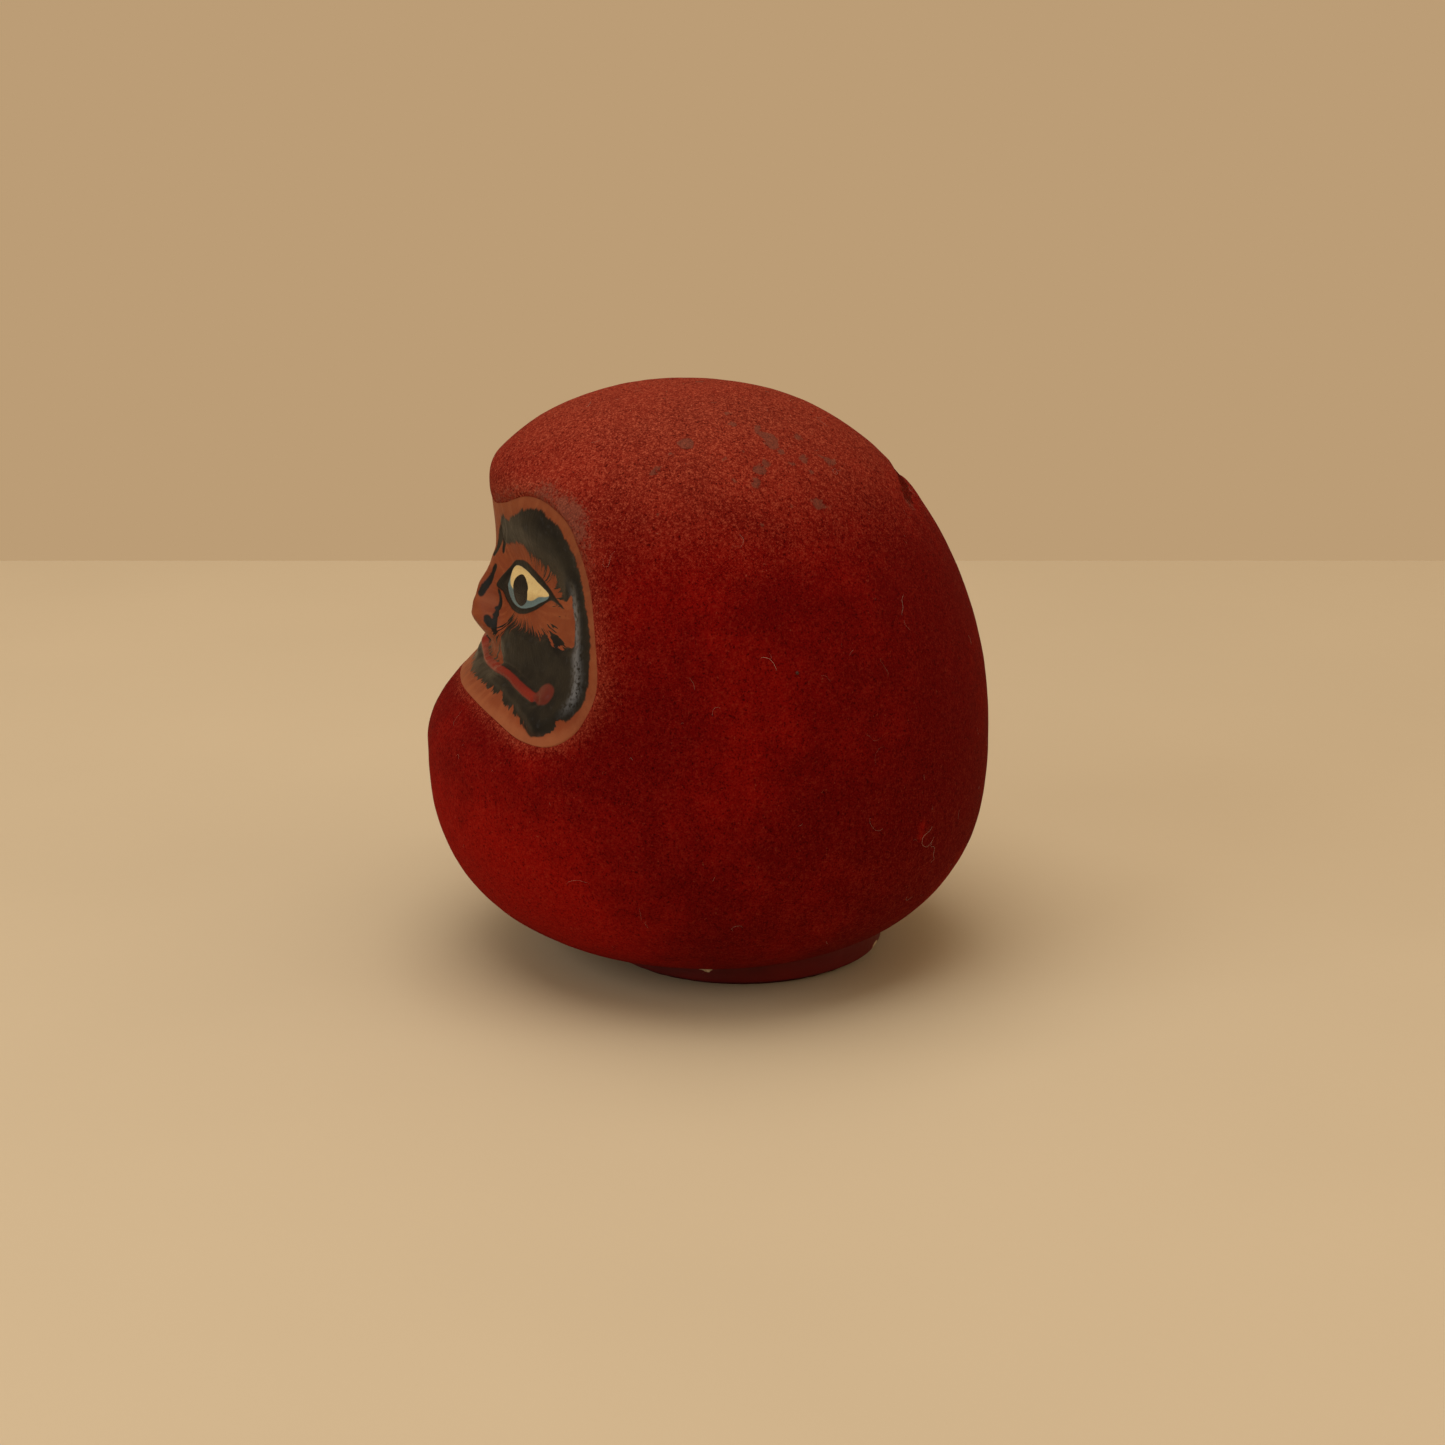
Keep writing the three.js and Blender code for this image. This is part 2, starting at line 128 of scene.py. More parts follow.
def skin_place(ways):
    """Skin coordinates of directions, and how far forwards each one faces."""
    radius = skin_radius(ways)
    level = np.hypot(ways[..., 0], ways[..., 1]) + 1e-9
    return radius * ways[..., 0], WAIST + radius * ways[..., 2], -ways[..., 1] / level


def hollow(ways):
    """Depth of the hollow that the hood and the chin leave for the face."""
    x, z, forward = skin_place(ways)
    half_width = CHEEK_WIDTH * np.sqrt(1 - np.clip((z - CHEEK_LEVEL) / HOOD_RISE, 0, 0.999) ** HOOD_POWER)
    across = np.maximum(1 - (np.abs(x) / half_width) ** CHEEK_POWER, 0)
    under_hood = smooth((HOOD_TOP - z) / HOOD_BLEND)
    over_chin = smooth((z - CHIN) / CHIN_BLEND)
    turned_in = smooth((forward - TURN_START) / TURN_BLEND)
    return RECESS * across * turned_in * under_hood * over_chin


def points_at(ways, depth, underside=None):
    """Points along directions at a depth below the round skin, in millimetres."""
    radius = skin_radius(ways) - depth
    if underside is not None:
        drop = np.minimum(ways[..., 2], -1e-6)
        radius = np.where(ways[..., 2] < 0, np.minimum(radius, (WAIST - underside) / -drop), radius)
    return CENTRE + ways * radius[..., None]


# ---- outlines ------------------------------------------------------------------------------------


def curve_through(points, closed, steps=12):
    """A smooth curve through a few given points, as an array of close points."""
    control = np.array(points, float)
    count = len(control)
    spans = count if closed else count - 1
    made = []
    for k in range(spans):
        before, start, end, after = (
            control[(k + offset) % count if closed else min(max(k + offset, 0), count - 1)]
            for offset in (-1, 0, 1, 2)
        )
        t = np.linspace(0, 1, steps, endpoint=False)[:, None]
        made.append(
            0.5
            * (
                2 * start
                + (end - before) * t
                + (2 * before - 5 * start + 4 * end - after) * t**2
                + (3 * start - before - 3 * end + after) * t**3
            )
        )
    if not closed:
        made.append(control[-1:])
    return np.concatenate(made)


def distance_to(line, x, z, closed=False):
    """Distance from places to a line of close points."""
    ends = np.roll(line, -1, axis=0) if closed else line[1:]
    starts = line if closed else line[:-1]
    best = np.full(x.shape, 1e9)
    for (ax, az), (bx, bz) in zip(starts, ends):
        dx, dz = bx - ax, bz - az
        t = np.clip(((x - ax) * dx + (z - az) * dz) / (dx * dx + dz * dz + 1e-12), 0, 1)
        best = np.minimum(best, (x - ax - t * dx) ** 2 + (z - az - t * dz) ** 2)
    return np.sqrt(best)


def inside(line, x, z):
    """Signed distance to a closed line: above 0 inside it."""
    odd = np.zeros(x.shape, bool)
    for (ax, az), (bx, bz) in zip(line, np.roll(line, -1, axis=0)):
        crosses = (az > z) != (bz > z)
        odd ^= crosses & (x < (bx - ax) * (z - az) / (bz - az + 1e-12) + ax)
    return np.where(odd, 1.0, -1.0) * distance_to(line, x, z, closed=True)


# ---- the face's drawing --------------------------------------------------------------------------
# Skin coordinates of its right half. The left half mirrors it.

PANEL = [(0, 91), (9, 92), (18, 93.5), (25.4, 92), (31.5, 88), (37.8, 79), (42.2, 65.5),
         (41.2, 57.5), (37, 52.5), (31, 52), (22, 54), (11, 55.4), (0, 55.7)]
HAIR = [(5.4, 90.2), (9.3, 90.4), (15.5, 91.9), (20.2, 92.3), (24.1, 91.4), (27.8, 89.6), (32.7, 85.2),
        (37.2, 77.6), (39.5, 72.4), (41, 64.8), (40.8, 61.2), (39.5, 58.1), (37.2, 55.6), (33.3, 53),
        (29.4, 55), (25, 56.8), (18.8, 58.2), (10.9, 58.7), (3.1, 58.3), (-2, 58.3), (-2, 63.6),
        (6, 63.6), (10.6, 64.4), (8.4, 66.2), (8, 68.5), (9.4, 72), (12.2, 74.5), (19.8, 74.4),
        (24.6, 73.9), (29.7, 74.8), (33.8, 72.2), (36, 72), (35.5, 74.7), (34.1, 78.2), (32.1, 81.7),
        (30.9, 80.6), (26.8, 83.9), (24.2, 85.5), (19.4, 86.8), (12.7, 88.5), (5.6, 87.4)]
EYELID = [(4, 79.4), (6.4, 82.4), (8.8, 85.6), (13.8, 86.6), (18.2, 85.6), (24.4, 83.3), (31.5, 79.1),
          (26.3, 80.9), (23, 79.3), (18, 77.2), (13, 76.8), (8.6, 77.9), (6.4, 79)]
SCLERA = [(9.1, 82), (8.8, 84.2), (10.2, 85.3), (13.4, 85.4), (18.7, 84.2), (25.3, 81.8), (22.3, 79.9),
          (17.3, 78.2), (12.8, 78.2), (9.6, 79.6)]
CREAM = [(9.8, 81.9), (8.7, 84.2), (10.2, 85.4), (13.4, 85.5), (18.8, 84.3), (25.4, 82), (22.2, 81.2),
         (19, 80), (13.7, 80.4)]
PUPIL = [(12.3, 80.6), (11.9, 82.8), (12.6, 84.3), (15, 83.8), (18, 81.9), (18.1, 79.7), (15.7, 78.4),
         (13.1, 79)]
LIP = [(-3, 62.4), (5, 62.7), (16.5, 63.2), (23.2, 61.9), (30, 60.4)]
CURL = (32.2, 61.7)
WRINKLES = [
    ([(6.9, 89.9), (3.2, 87.4), (0.6, 84.3)], 0.7),
    ([(7.3, 89.2), (5.4, 87.6), (4.3, 85.8)], 0.4),
    ([(2.8, 82.3), (2, 79.2), (1.3, 75.8)], 0.6),
    ([(4.7, 78.5), (5.4, 77), (5.5, 75.2)], 0.45),
    ([(5.2, 75), (6.2, 73), (7.1, 70.4)], 0.55),
    ([(5, 71.9), (5.6, 71.4)], 0.9),
]
EYE_CENTRE = (17, 80.5)


def drawing(x, z):
    """What is painted where on the face: signed distances in millimetres, above 0 inside."""
    side = np.abs(x)
    hair = inside(curve_through(HAIR, True, 6), side, z)
    panel = inside(curve_through(PANEL + [(-px, pz) for px, pz in PANEL[-2:0:-1]], True, 6), x, z)
    eyelid = inside(curve_through(EYELID, True, 6), side, z)
    sclera = inside(curve_through(SCLERA, True, 6), side, z)
    lip = 0.95 - distance_to(curve_through(LIP, False, 6), side, z)
    curl = 2.3 - np.hypot(side - CURL[0], z - CURL[1])
    wrinkle = np.full(x.shape, -9.0)
    for line, half_width in WRINKLES:
        wrinkle = np.maximum(wrinkle, half_width - distance_to(curve_through(line, False, 6), side, z))
    return dict(hair=hair, panel=panel, eyelid=eyelid, sclera=sclera, lip=lip, curl=curl, wrinkle=wrinkle)


def face_height(x, z, paint):
    """Height of the relief above the floor of the hollow."""
    side = np.abs(x)
    knot = 3.7 * bump(side, 8) * bump(z - 83.8, 5.5)
    bridge = bump(side, 3) * smooth((84 - z) / 6) * smooth((z - 74) / 4)
    nose = 5 * smooth((82.8 - z) / 10) * smooth((z - 66) / 5) * bump(side, 3.3 + 3.2 * smooth((78 - z) / 9))
    wing = 0.5 * bump(side - 5.4, 2.2) * bump(z - 71.6, 2.6)
    pad = 1.0 * smooth(paint["hair"] / 2.4) * smooth((side - 4) / 10)
    eye = 0.9 * smooth(paint["eyelid"] / 4.5) + 0.35 * smooth(paint["sclera"] / 3.5)
    lid = 0.25 * bump(paint["eyelid"] - 0.5, 0.7)
    lip = 0.6 * smooth((paint["lip"] + 0.5) / 1.4) - 0.2 * bump(paint["lip"] + 0.7, 0.4)
    curl = 0.6 * smooth(paint["curl"] / 1.5)
    crease = -0.15 * smooth((paint["wrinkle"] + 0.2) / 0.6)
    return knot + bridge + nose + wing + pad + eye + lid + lip + curl + crease


def face_depth(x, z, ways, paint):
    step = STEP * smooth((z - STEP_LOW) / STEP_BLEND)
    return np.maximum(hollow(ways) + step - face_height(x, z, paint), PROUDEST)


# ---- settings ------------------------------------------------------------------------------------

FOOT_LOW, FOOT_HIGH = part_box("base_weight")
STOPPER_LOW, STOPPER_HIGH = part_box("stopper")
PAPER_LOW, PAPER_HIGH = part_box("base_paper")


def length(name, description, default):
    return FloatProperty(name=name, description=description, default=default, min=0.0, unit="LENGTH")


def colour(name, description, default):
    return FloatVectorProperty(
        name=name, description=description, default=default, size=3, min=0.0, max=1.0, subtype="COLOR"
    )


class DarumaCoatSettings(bpy.types.PropertyGroup):
    thickness: length("Coat thickness", "Depth of the flock from its surface to its glue", 0.0008)
    slot_margin: length("Slot margin", "Strip left bare around the coin slot", 0.00035)
    pile: colour("Pile", "Flock that lies in shade or has kept its dye", (0.105, 0.0005, 0.0004))
    # The bright pile also colours the painted bounce light on the lower belly and the painted light on the
    # crown.
    bright: colour("Bright pile", "Flock brushed up so that it shows its dye", (0.225, 0.0026, 0.0008))
    dusty: colour("Dusty pile", "Flock with dust in it, over the crown", (0.20, 0.031, 0.015))
    worn: colour("Worn patches", "Glue and pulp where the flock has rubbed away", (0.095, 0.032, 0.021))
    fibres: IntProperty(name="Fibres", description="How many fibres stand up", default=26000, min=0)
    fibre_length: length("Fibre length", "How far the longest fibres stand up", 0.00042)


class DarumaFaceSettings(bpy.types.PropertyGroup):
    clay: colour("Skin paint", "Terracotta ground of the face", (0.190, 0.044, 0.0145))
    hair: colour("Hair lacquer", "Black of the brows, beard and eyelids", (0.0060, 0.0056, 0.0052))
    lip: colour("Lip paint", "Red of the lips and of the curl at their end", (0.190, 0.014, 0.007))
    cream: colour("Eye cream", "White of the eyes, yellowed", (0.560, 0.420, 0.185))
    slate: colour("Eye shade", "Blue-grey under the eyes", (0.095, 0.150, 0.160))
    pupil: colour("Pupil", "Brown-black of the pupils", (0.009, 0.007, 0.006))


class DarumaFootSettings(bpy.types.PropertyGroup):
    radius: length("Foot radius", "Radius of the foot's wall", (FOOT_HIGH.x - FOOT_LOW.x) / 2)
    paint: colour("Foot paint", "Dark red brushed over the clay", (0.125, 0.0015, 0.0010))
    gesso: colour("Gesso", "Ground that shows where the paint is chipped", (0.560, 0.440, 0.270))
    stopper_radius: length("Flange radius", "Radius of the flange", (STOPPER_HIGH.x - STOPPER_LOW.x) / 2)


class DarumaStageSettings(bpy.types.PropertyGroup):
    floor: colour("Floor", "Pale floor", (0.540, 0.448, 0.305))
    backdrop: colour("Backdrop", "What shows beyond the floor", (0.592, 0.397, 0.213))
    lens: FloatProperty(name="Lens", description="Focal length in millimetres", default=70.0, min=1.0)


# ---- shader maths --------------------------------------------------------------------------------


class Value:
    """An output socket that can be used in an expression. Each operator adds one Math node."""

    def __init__(self, finish, socket):
        self.finish = finish
        self.socket = socket

    def maths(self, operation, *others):
        return self.finish.node("ShaderNodeMath", {"operation": operation}, self, *others)

    def __add__(self, other):
        return self.maths("ADD", other)

    __radd__ = __add__

    def __sub__(self, other):
        return self.maths("SUBTRACT", other)

    def __rsub__(self, other):
        return self.finish.node("ShaderNodeMath", {"operation": "SUBTRACT"}, other, self)

    def __mul__(self, other):
        return self.maths("MULTIPLY", other)

    __rmul__ = __mul__

    def most(self, other):
        return self.maths("MAXIMUM", other)

    def above(self, limit, soft):
        """0 below the limit and 1 above it, turning over a width of soft."""
        settings = {"interpolation_type": "SMOOTHSTEP", "clamp": True}
        low, high = limit - soft / 2, limit + soft / 2
        return self.finish.node("ShaderNodeMapRange", settings, self, low, high)


class Finish:
    """A material under construction."""

    def __init__(self, name):
        self.material = bpy.data.materials.new(name)
        self.material.use_nodes = True
        self.nodes = self.material.node_tree.nodes
        self.links = self.material.node_tree.links
        self.nodes.clear()

    def node(self, kind, settings, *values, out=0, **named):
        """Adds a node. Values go to its sockets in order, and named ones by their names."""
        made = self.nodes.new(kind)
        for key, setting in settings.items():
            setattr(made, key, setting)
        feeds = [(made.inputs[k], value) for k, value in enumerate(values)]
        feeds += [(made.inputs[key.replace("_", " ")], value) for key, value in named.items()]
        for socket, value in feeds:
            if isinstance(value, Value):
                self.links.new(value.socket, socket)
            elif value is not None:
                socket.default_value = value
        return Value(self, made.outputs[out]) if made.outputs else None

    def place(self):
        return self.node("ShaderNodeTexCoord", {}, out=3)

    def field(self, name):
        """A number stored on the mesh."""
        return self.node("ShaderNodeAttribute", {"attribute_name": name}, out=2)

    def vector_field(self, name):
        return self.node("ShaderNodeAttribute", {"attribute_name": name}, out=1)

    def noise(self, scale, detail=3.0, where=None, rough=0.55, warp=0.0):
        where = self.place() if where is None else where
        return self.node(
            "ShaderNodeTexNoise", {"noise_dimensions": "3D"}, Vector=where, Scale=scale, Detail=detail,
            Roughness=rough, Distortion=warp,
        )

    def stretched(self, where, x, y, z):
        return self.node("ShaderNodeVectorMath", {"operation": "MULTIPLY"}, where, (x, y, z))

    def blend(self, share, first, second):
        """A mix of two colours, each a tuple or a colour socket."""
        first, second = (tuple(c) + (1.0,) if not isinstance(c, Value) else c for c in (first, second))
        made = self.nodes.new("ShaderNodeMix")
        made.data_type = "RGBA"
        made.clamp_factor = True
        for socket, value in ((made.inputs[0], share), (made.inputs[6], first), (made.inputs[7], second)):
            if isinstance(value, Value):
                self.links.new(value.socket, socket)
            else:
                socket.default_value = value
        return Value(self, made.outputs[2])

    def bump(self, height, distance, strength):
        return self.node("ShaderNodeBump", {}, Strength=strength, Distance=distance, Height=height)

    def finish_with(self, colour_value, roughness, normal=None, coat=None, **fixed):
        """Adds the surface shader. The named numbers are the same all over the piece."""
        feeds = {"Base_Color": colour_value, "Roughness": roughness, "Normal": normal, "Coat_Weight": coat}
        feeds.update(fixed)
        shader = self.node("ShaderNodeBsdfPrincipled", {}, **feeds)
        self.node("ShaderNodeOutputMaterial", {}, shader)
        return self.material


# ---- finishes ------------------------------------------------------------------------------------


def flock_finish(settings):
    made = Finish("red_flock")
    grain = made.noise(3000, 3, rough=0.75)
    fleck = made.noise(1250, 4, rough=0.7)
    mottle = made.noise(190, 4, rough=0.6)
    cloud = made.noise(42, 3)
    streak = made.noise(1500, 2, where=made.stretched(made.place(), 1.0, 1.0, 0.45), warp=1.5)
    dust = made.field("dust")
    wear = made.field("wear")
    painted_light_and_brushing = made.field("painted_light_and_brushing")
    # Painted light: the pile is lightened by painted floor bounce on the lower belly and painted top light on
    # the crown, and where it is brushed up.
    lit_and_brushed = (painted_light_and_brushing * 0.75 + cloud * 0.95 + mottle * 0.65 + fleck * 0.2 - 0.895).above(0.26, 0.75)
    base = made.blend(lit_and_brushed, settings.pile, settings.bright)
    dusting = (dust + mottle * 0.35 + fleck * 0.6 - 0.5).above(0.5, 0.9)
    base = made.blend(dusting * 0.85, base, settings.dusty)
    flecks = (fleck * 0.35 + grain * 0.75).above(0.61, 0.10)
    base = made.blend(flecks * (0.9 * dust - 0.04), base, (0.46, 0.100, 0.050))
    dark = (1 - (grain * 0.65 + fleck * 0.35).above(0.42, 0.16)) * 0.95
    base = made.blend(dark, base, (0.022, 0.0006, 0.0005))
    lint = (streak * 0.6 + grain * 0.4).above(0.665, 0.05)
    base = made.blend(lint * (0.1 + 0.5 * dust), base, (0.38, 0.17, 0.10))
    bald = (wear + fleck * 0.9 + mottle * 0.5 - 0.7).above(0.58, 0.2)
    patch = made.blend(grain.above(0.5, 0.3), settings.worn, (0.14, 0.045, 0.028))
    base = made.blend(bald * 0.7, base, patch)
    heights = grain * 0.6 + fleck * 0.45 - bald * 0.3
    normal = made.bump(heights, 0.00033, 0.9)
    return made.finish_with(
        base, 0.97 - bald * 0.2, normal, Sheen_Weight=0.02, Sheen_Roughness=0.5,
        Sheen_Tint=(0.9, 0.22, 0.12, 1.0), Specular_IOR_Level=0.03,
    )


def fibre_finish(settings):
    made = Finish("flock_fibre")
    tone = made.field("tone")
    dust = made.field("dust")
    base = made.blend(tone, settings.pile, settings.bright)
    base = made.blend((tone * 0.5 + dust * 0.8).above(0.75, 0.5) * 0.75, base, (0.30, 0.075, 0.040))
    base = made.blend(made.noise(900, 2).above(0.62, 0.2) * 0.4, base, settings.dusty)
    return made.finish_with(base, 0.9 - tone * 0.1, Specular_IOR_Level=0.05)


def face_finish(settings):
    made = Finish("face_paint")
    sweep = made.vector_field("sweep")
    bristle = made.noise(1.0, 2, where=made.stretched(sweep, 1.3, 0.10, 1.0), rough=0.5)
    strand = made.noise(1.0, 2, where=made.stretched(sweep, 3.4, 0.18, 1.0), rough=0.5)
    fine = made.noise(1600, 3)
    speck = made.noise(700, 3, rough=0.7)
    tone = made.noise(130, 4)
    loose = made.field("feather")
    edge_wobble = (made.noise(420, 2) - 0.5) * 0.7
    hair_edge = made.field("hair") + edge_wobble + loose * (bristle + strand * 0.9 - 0.95) * 22.0
    hair = hair_edge.above(0.0, 0.35)
    lid = (made.field("eyelid") + edge_wobble * 0.5).above(0.0, 0.25)
    white = (made.field("sclera") + edge_wobble * 0.3).above(0.0, 0.2)
    cream = (made.field("cream") + edge_wobble * 0.4).above(0.0, 0.25)
    pupil = (made.field("pupil") + edge_wobble * 0.25).above(0.0, 0.15)
    wrinkle = (made.field("wrinkle") + (bristle - 0.5) * 0.8).above(0.0, 0.3)
    lip_core = (made.field("lip") + edge_wobble * 0.5).above(0.0, 0.35)
    curl = (made.field("curl") + edge_wobble).above(0.0, 0.6)
    skin = made.blend(tone.above(0.5, 0.5), settings.clay, (0.145, 0.031, 0.0115))
    skin = made.blend((bristle.above(0.56, 0.3)) * 0.35, skin, (0.27, 0.082, 0.030))
    skin = made.blend(speck.above(0.66, 0.1) * 0.35, skin, (0.07, 0.020, 0.010))
    dust = (made.field("dust") + speck * 0.6 - 0.3).above(0.55, 0.5)
    ink_tone = made.blend(made.noise(260, 3).above(0.52, 0.3), settings.hair, (0.0115, 0.0098, 0.0072))
    ink = made.blend(speck.above(0.63, 0.12) * 0.4, ink_tone, (0.028, 0.029, 0.030))
    # Painted highlight: light blue-grey speckles along the black band's ridge.
    shine = made.field("ridge") * (fine * 0.6 + speck * 0.5).above(0.5, 0.2)
    ink = made.blend(shine * 0.7, ink, (0.150, 0.160, 0.175))
    paint = made.blend(hair, skin, ink)
    paint = made.blend(wrinkle, paint, ink)
    red = made.blend(tone.above(0.5, 0.4), settings.lip, (0.14, 0.010, 0.006))
    paint = made.blend(lip_core * 0.92, paint, red)
    paint = made.blend(curl * 0.85, paint, (0.105, 0.016, 0.010))
    paint = made.blend(lid, paint, settings.hair)
    paint = made.blend(white, paint, settings.slate)
    cream_tone = made.blend(speck.above(0.6, 0.2) * 0.5, settings.cream, (0.42, 0.27, 0.11))
    paint = made.blend(cream * white, paint, cream_tone)
    paint = made.blend(pupil, paint, settings.pupil)
    paint = made.blend(dust * 0.5 * (1 - hair * 0.85), paint, (0.26, 0.088, 0.036))
    glossy = hair.most(lid)
    roughness = 0.5 - glossy * 0.15 + (speck - 0.5) * 0.3 + dust * 0.2 - white * 0.08
    relief = bristle * 0.35 + fine * 0.2 + glossy * 0.5 + white * 0.3 + speck * 0.15
    normal = made.bump(relief, 0.00012, 0.9)
    return made.finish_with(
        paint, roughness, normal, coat=glossy * 0.05, Coat_Roughness=0.22,
        Specular_IOR_Level=0.09,
    )


def foot_finish(settings):
    made = Finish("painted_clay")
    around = made.stretched(made.place(), 1.0, 1.0, 7.0)
    brush = made.noise(160, 4, where=around, rough=0.6)
    grain = made.noise(1100, 4, rough=0.65)
    tone = made.noise(70, 3)
    chip = (made.field("chip") + (made.noise(900, 3) - 0.5) * 0.9).above(0.0, 0.12)
    scuff = (made.field("edge") + grain * 0.7 + tone * 0.5 - 0.7).above(0.62, 0.2)
    base = made.blend(tone.above(0.5, 0.5), settings.paint, (0.070, 0.0011, 0.0008))
    base = made.blend(brush.above(0.58, 0.25) * 0.4, base, (0.095, 0.004, 0.002))
    base = made.blend(scuff * 0.6, base, (0.10, 0.025, 0.013))
    base = made.blend(chip, base, made.blend(grain.above(0.5, 0.3), settings.gesso, (0.36, 0.25, 0.14)))
    normal = made.bump(brush * 0.6 + grain * 0.25 - chip * 0.6, 0.00018, 0.8)
    return made.finish_with(base, 0.42 + grain * 0.2 + chip * 0.3, normal, Specular_IOR_Level=0.22)


def pulp_finish():
    made = Finish("moulded_pulp")
    long_fibre = made.noise(520, 4, where=made.stretched(made.place(), 1.0, 0.5, 1.6), warp=2.0)
    clump = made.noise(170, 4, rough=0.6)
    grit = made.noise(2100, 3)
    base = made.blend(clump.above(0.5, 0.4), (0.27, 0.20, 0.13), (0.17, 0.125, 0.085))
    base = made.blend(long_fibre.above(0.6, 0.08) * 0.6, base, (0.40, 0.32, 0.22))
    base = made.blend(grit.above(0.66, 0.06) * 0.7, base, (0.06, 0.045, 0.035))
    normal = made.bump(long_fibre * 0.6 + clump * 0.6 + grit * 0.2, 0.0006, 0.9)
    return made.finish_with(base, 0.86 + grit * 0.1, normal, Specular_IOR_Level=0.2)


def paper_finish(name, ground, fibre, stained_and_shaded_edge=False):
    made = Finish(name)
    strand = made.noise(900, 3, where=made.stretched(made.place(), 0.35, 1.4, 1.0), warp=3.0)
    cross = made.noise(800, 3, where=made.stretched(made.place(), 1.3, 0.4, 1.0), warp=3.0)
    tone = made.noise(90, 4)
    stain = made.noise(55, 3, warp=1.0).above(0.6, 0.2)
    base = made.blend(tone.above(0.5, 0.5) * 0.6, ground, tuple(0.8 * c for c in ground))
    base = made.blend((strand.above(0.62, 0.07)).most(cross.above(0.63, 0.07)) * 0.7, base, fibre)
    base = made.blend(stain * 0.3, base, (0.22, 0.13, 0.07))
    if stained_and_shaded_edge:
        # Dark red rim: foot paint stain, with painted shade where the rim lies in the shadow under the foot.
        base = made.blend(made.field("edge"), base, (0.045, 0.003, 0.002))
    normal = made.bump(strand * 0.5 + cross * 0.5 + tone * 0.3, 0.0003, 0.8)
    return made.finish_with(base, 0.82 + strand * 0.12, normal, Specular_IOR_Level=0.25)


def rubber_finish():
    made = Finish("stopper_rubber")
    grain = made.noise(1500, 4, rough=0.6)
    bloom = made.noise(140, 4)
    turning = made.noise(300, 2, where=made.stretched(made.place(), 0.2, 0.2, 4.0))
    base = made.blend(bloom.above(0.52, 0.4), (0.016, 0.014, 0.013), (0.042, 0.039, 0.036))
    base = made.blend(grain.above(0.64, 0.08) * 0.5, base, (0.11, 0.095, 0.08))
    normal = made.bump(grain * 0.4 + turning * 0.3, 0.00015, 0.7)
    return made.finish_with(base, 0.52 + bloom * 0.25, normal, Specular_IOR_Level=0.4)


def hair_finish():
    made = Finish("lint")
    tone = made.field("tone")
    dirt = made.noise(1300, 2)
    base = made.blend(tone, (0.035, 0.013, 0.008), (0.60, 0.48, 0.38))
    base = made.blend(dirt.above(0.6, 0.2) * 0.4, base, (0.30, 0.08, 0.05))
    return made.finish_with(base, 0.7 + dirt * 0.2, Specular_IOR_Level=0.2)


def floor_finish(settings):
    made = Finish("floor")
    soft = made.noise(5, 3)
    fine = made.noise(300, 3)
    darker = tuple(0.93 * c for c in settings.floor)
    base = made.blend(soft.above(0.5, 0.7), settings.floor, darker)
    normal = made.bump(fine, 0.0002, 0.15)
    return made.finish_with(base, 0.62 + fine * 0.1, normal, Specular_IOR_Level=0.25)


# ---- mesh making ---------------------------------------------------------------------------------


def new_piece(name, points, faces, finish, body="doll", sharp=None):
    """A mesh piece that rides on a body of the frame. Points are in metres."""
    mesh = bpy.data.meshes.new(name)
    mesh.from_pydata([tuple(p) for p in points], [], faces)
    mesh.validate()
    mesh.shade_smooth()
    if sharp is not None:
        mesh.set_sharp_from_angle(angle=math.radians(sharp))
    piece = bpy.data.objects.new(name, mesh)
    bpy.context.scene.collection.objects.link(piece)
    mesh.materials.append(finish)
    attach(piece, body)
    return piece


def store(piece, name, values):
    """Keeps one number, or one vector, for each vertex of a piece."""
    values = np.asarray(values, np.float32)
    kind, key = ("FLOAT_VECTOR", "vector") if values.ndim == 2 else ("FLOAT", "value")
    field = piece.data.attributes.new(name, kind, "POINT")
    field.data.foreach_set(key, values.ravel())


def vertices_of(piece):
    flat = np.empty(len(piece.data.vertices) * 3, np.float32)
    piece.data.vertices.foreach_get("co", flat)
    return flat.reshape(-1, 3).astype(float)


def ways_of(points):
    """Unit directions from the body's centre to points in metres."""
    away = points / MM - CENTRE
    return away / np.linalg.norm(away, axis=1)[:, None]


def ring_faces(rings, segments, start=0):
    """Quads between successive closed rings of vertices."""
    return [
        (start + r * segments + k, start + r * segments + (k + 1) % segments,
         start + (r + 1) * segments + (k + 1) % segments, start + (r + 1) * segments + k)
        for r in range(rings - 1)
        for k in range(segments)
    ]


def capped(rings, segments, start=0):
    """Faces of a stack of closed rings of vertices, with a cap on each end."""
    last = start + (rings - 1) * segments
    ends = [tuple(reversed(range(start, start + segments))), tuple(range(last, last + segments))]
    return ring_faces(rings, segments, start) + ends


def turned(profile, axis_y, segments=160):
    """Points and faces of a closed profile of (radius, height) in metres, turned about an upright axis."""
    angles = np.linspace(0, 2 * math.pi, segments, endpoint=False)
    points = [
        (r * math.cos(a), axis_y + r * math.sin(a), z) for r, z in profile for a in angles
    ]
    faces = ring_faces(len(profile), segments)
    last = (len(profile) - 1) * segments
    faces += [(last + k, last + (k + 1) % segments, (k + 1) % segments, k) for k in range(segments)]
    return points, [face[::-1] for face in faces]


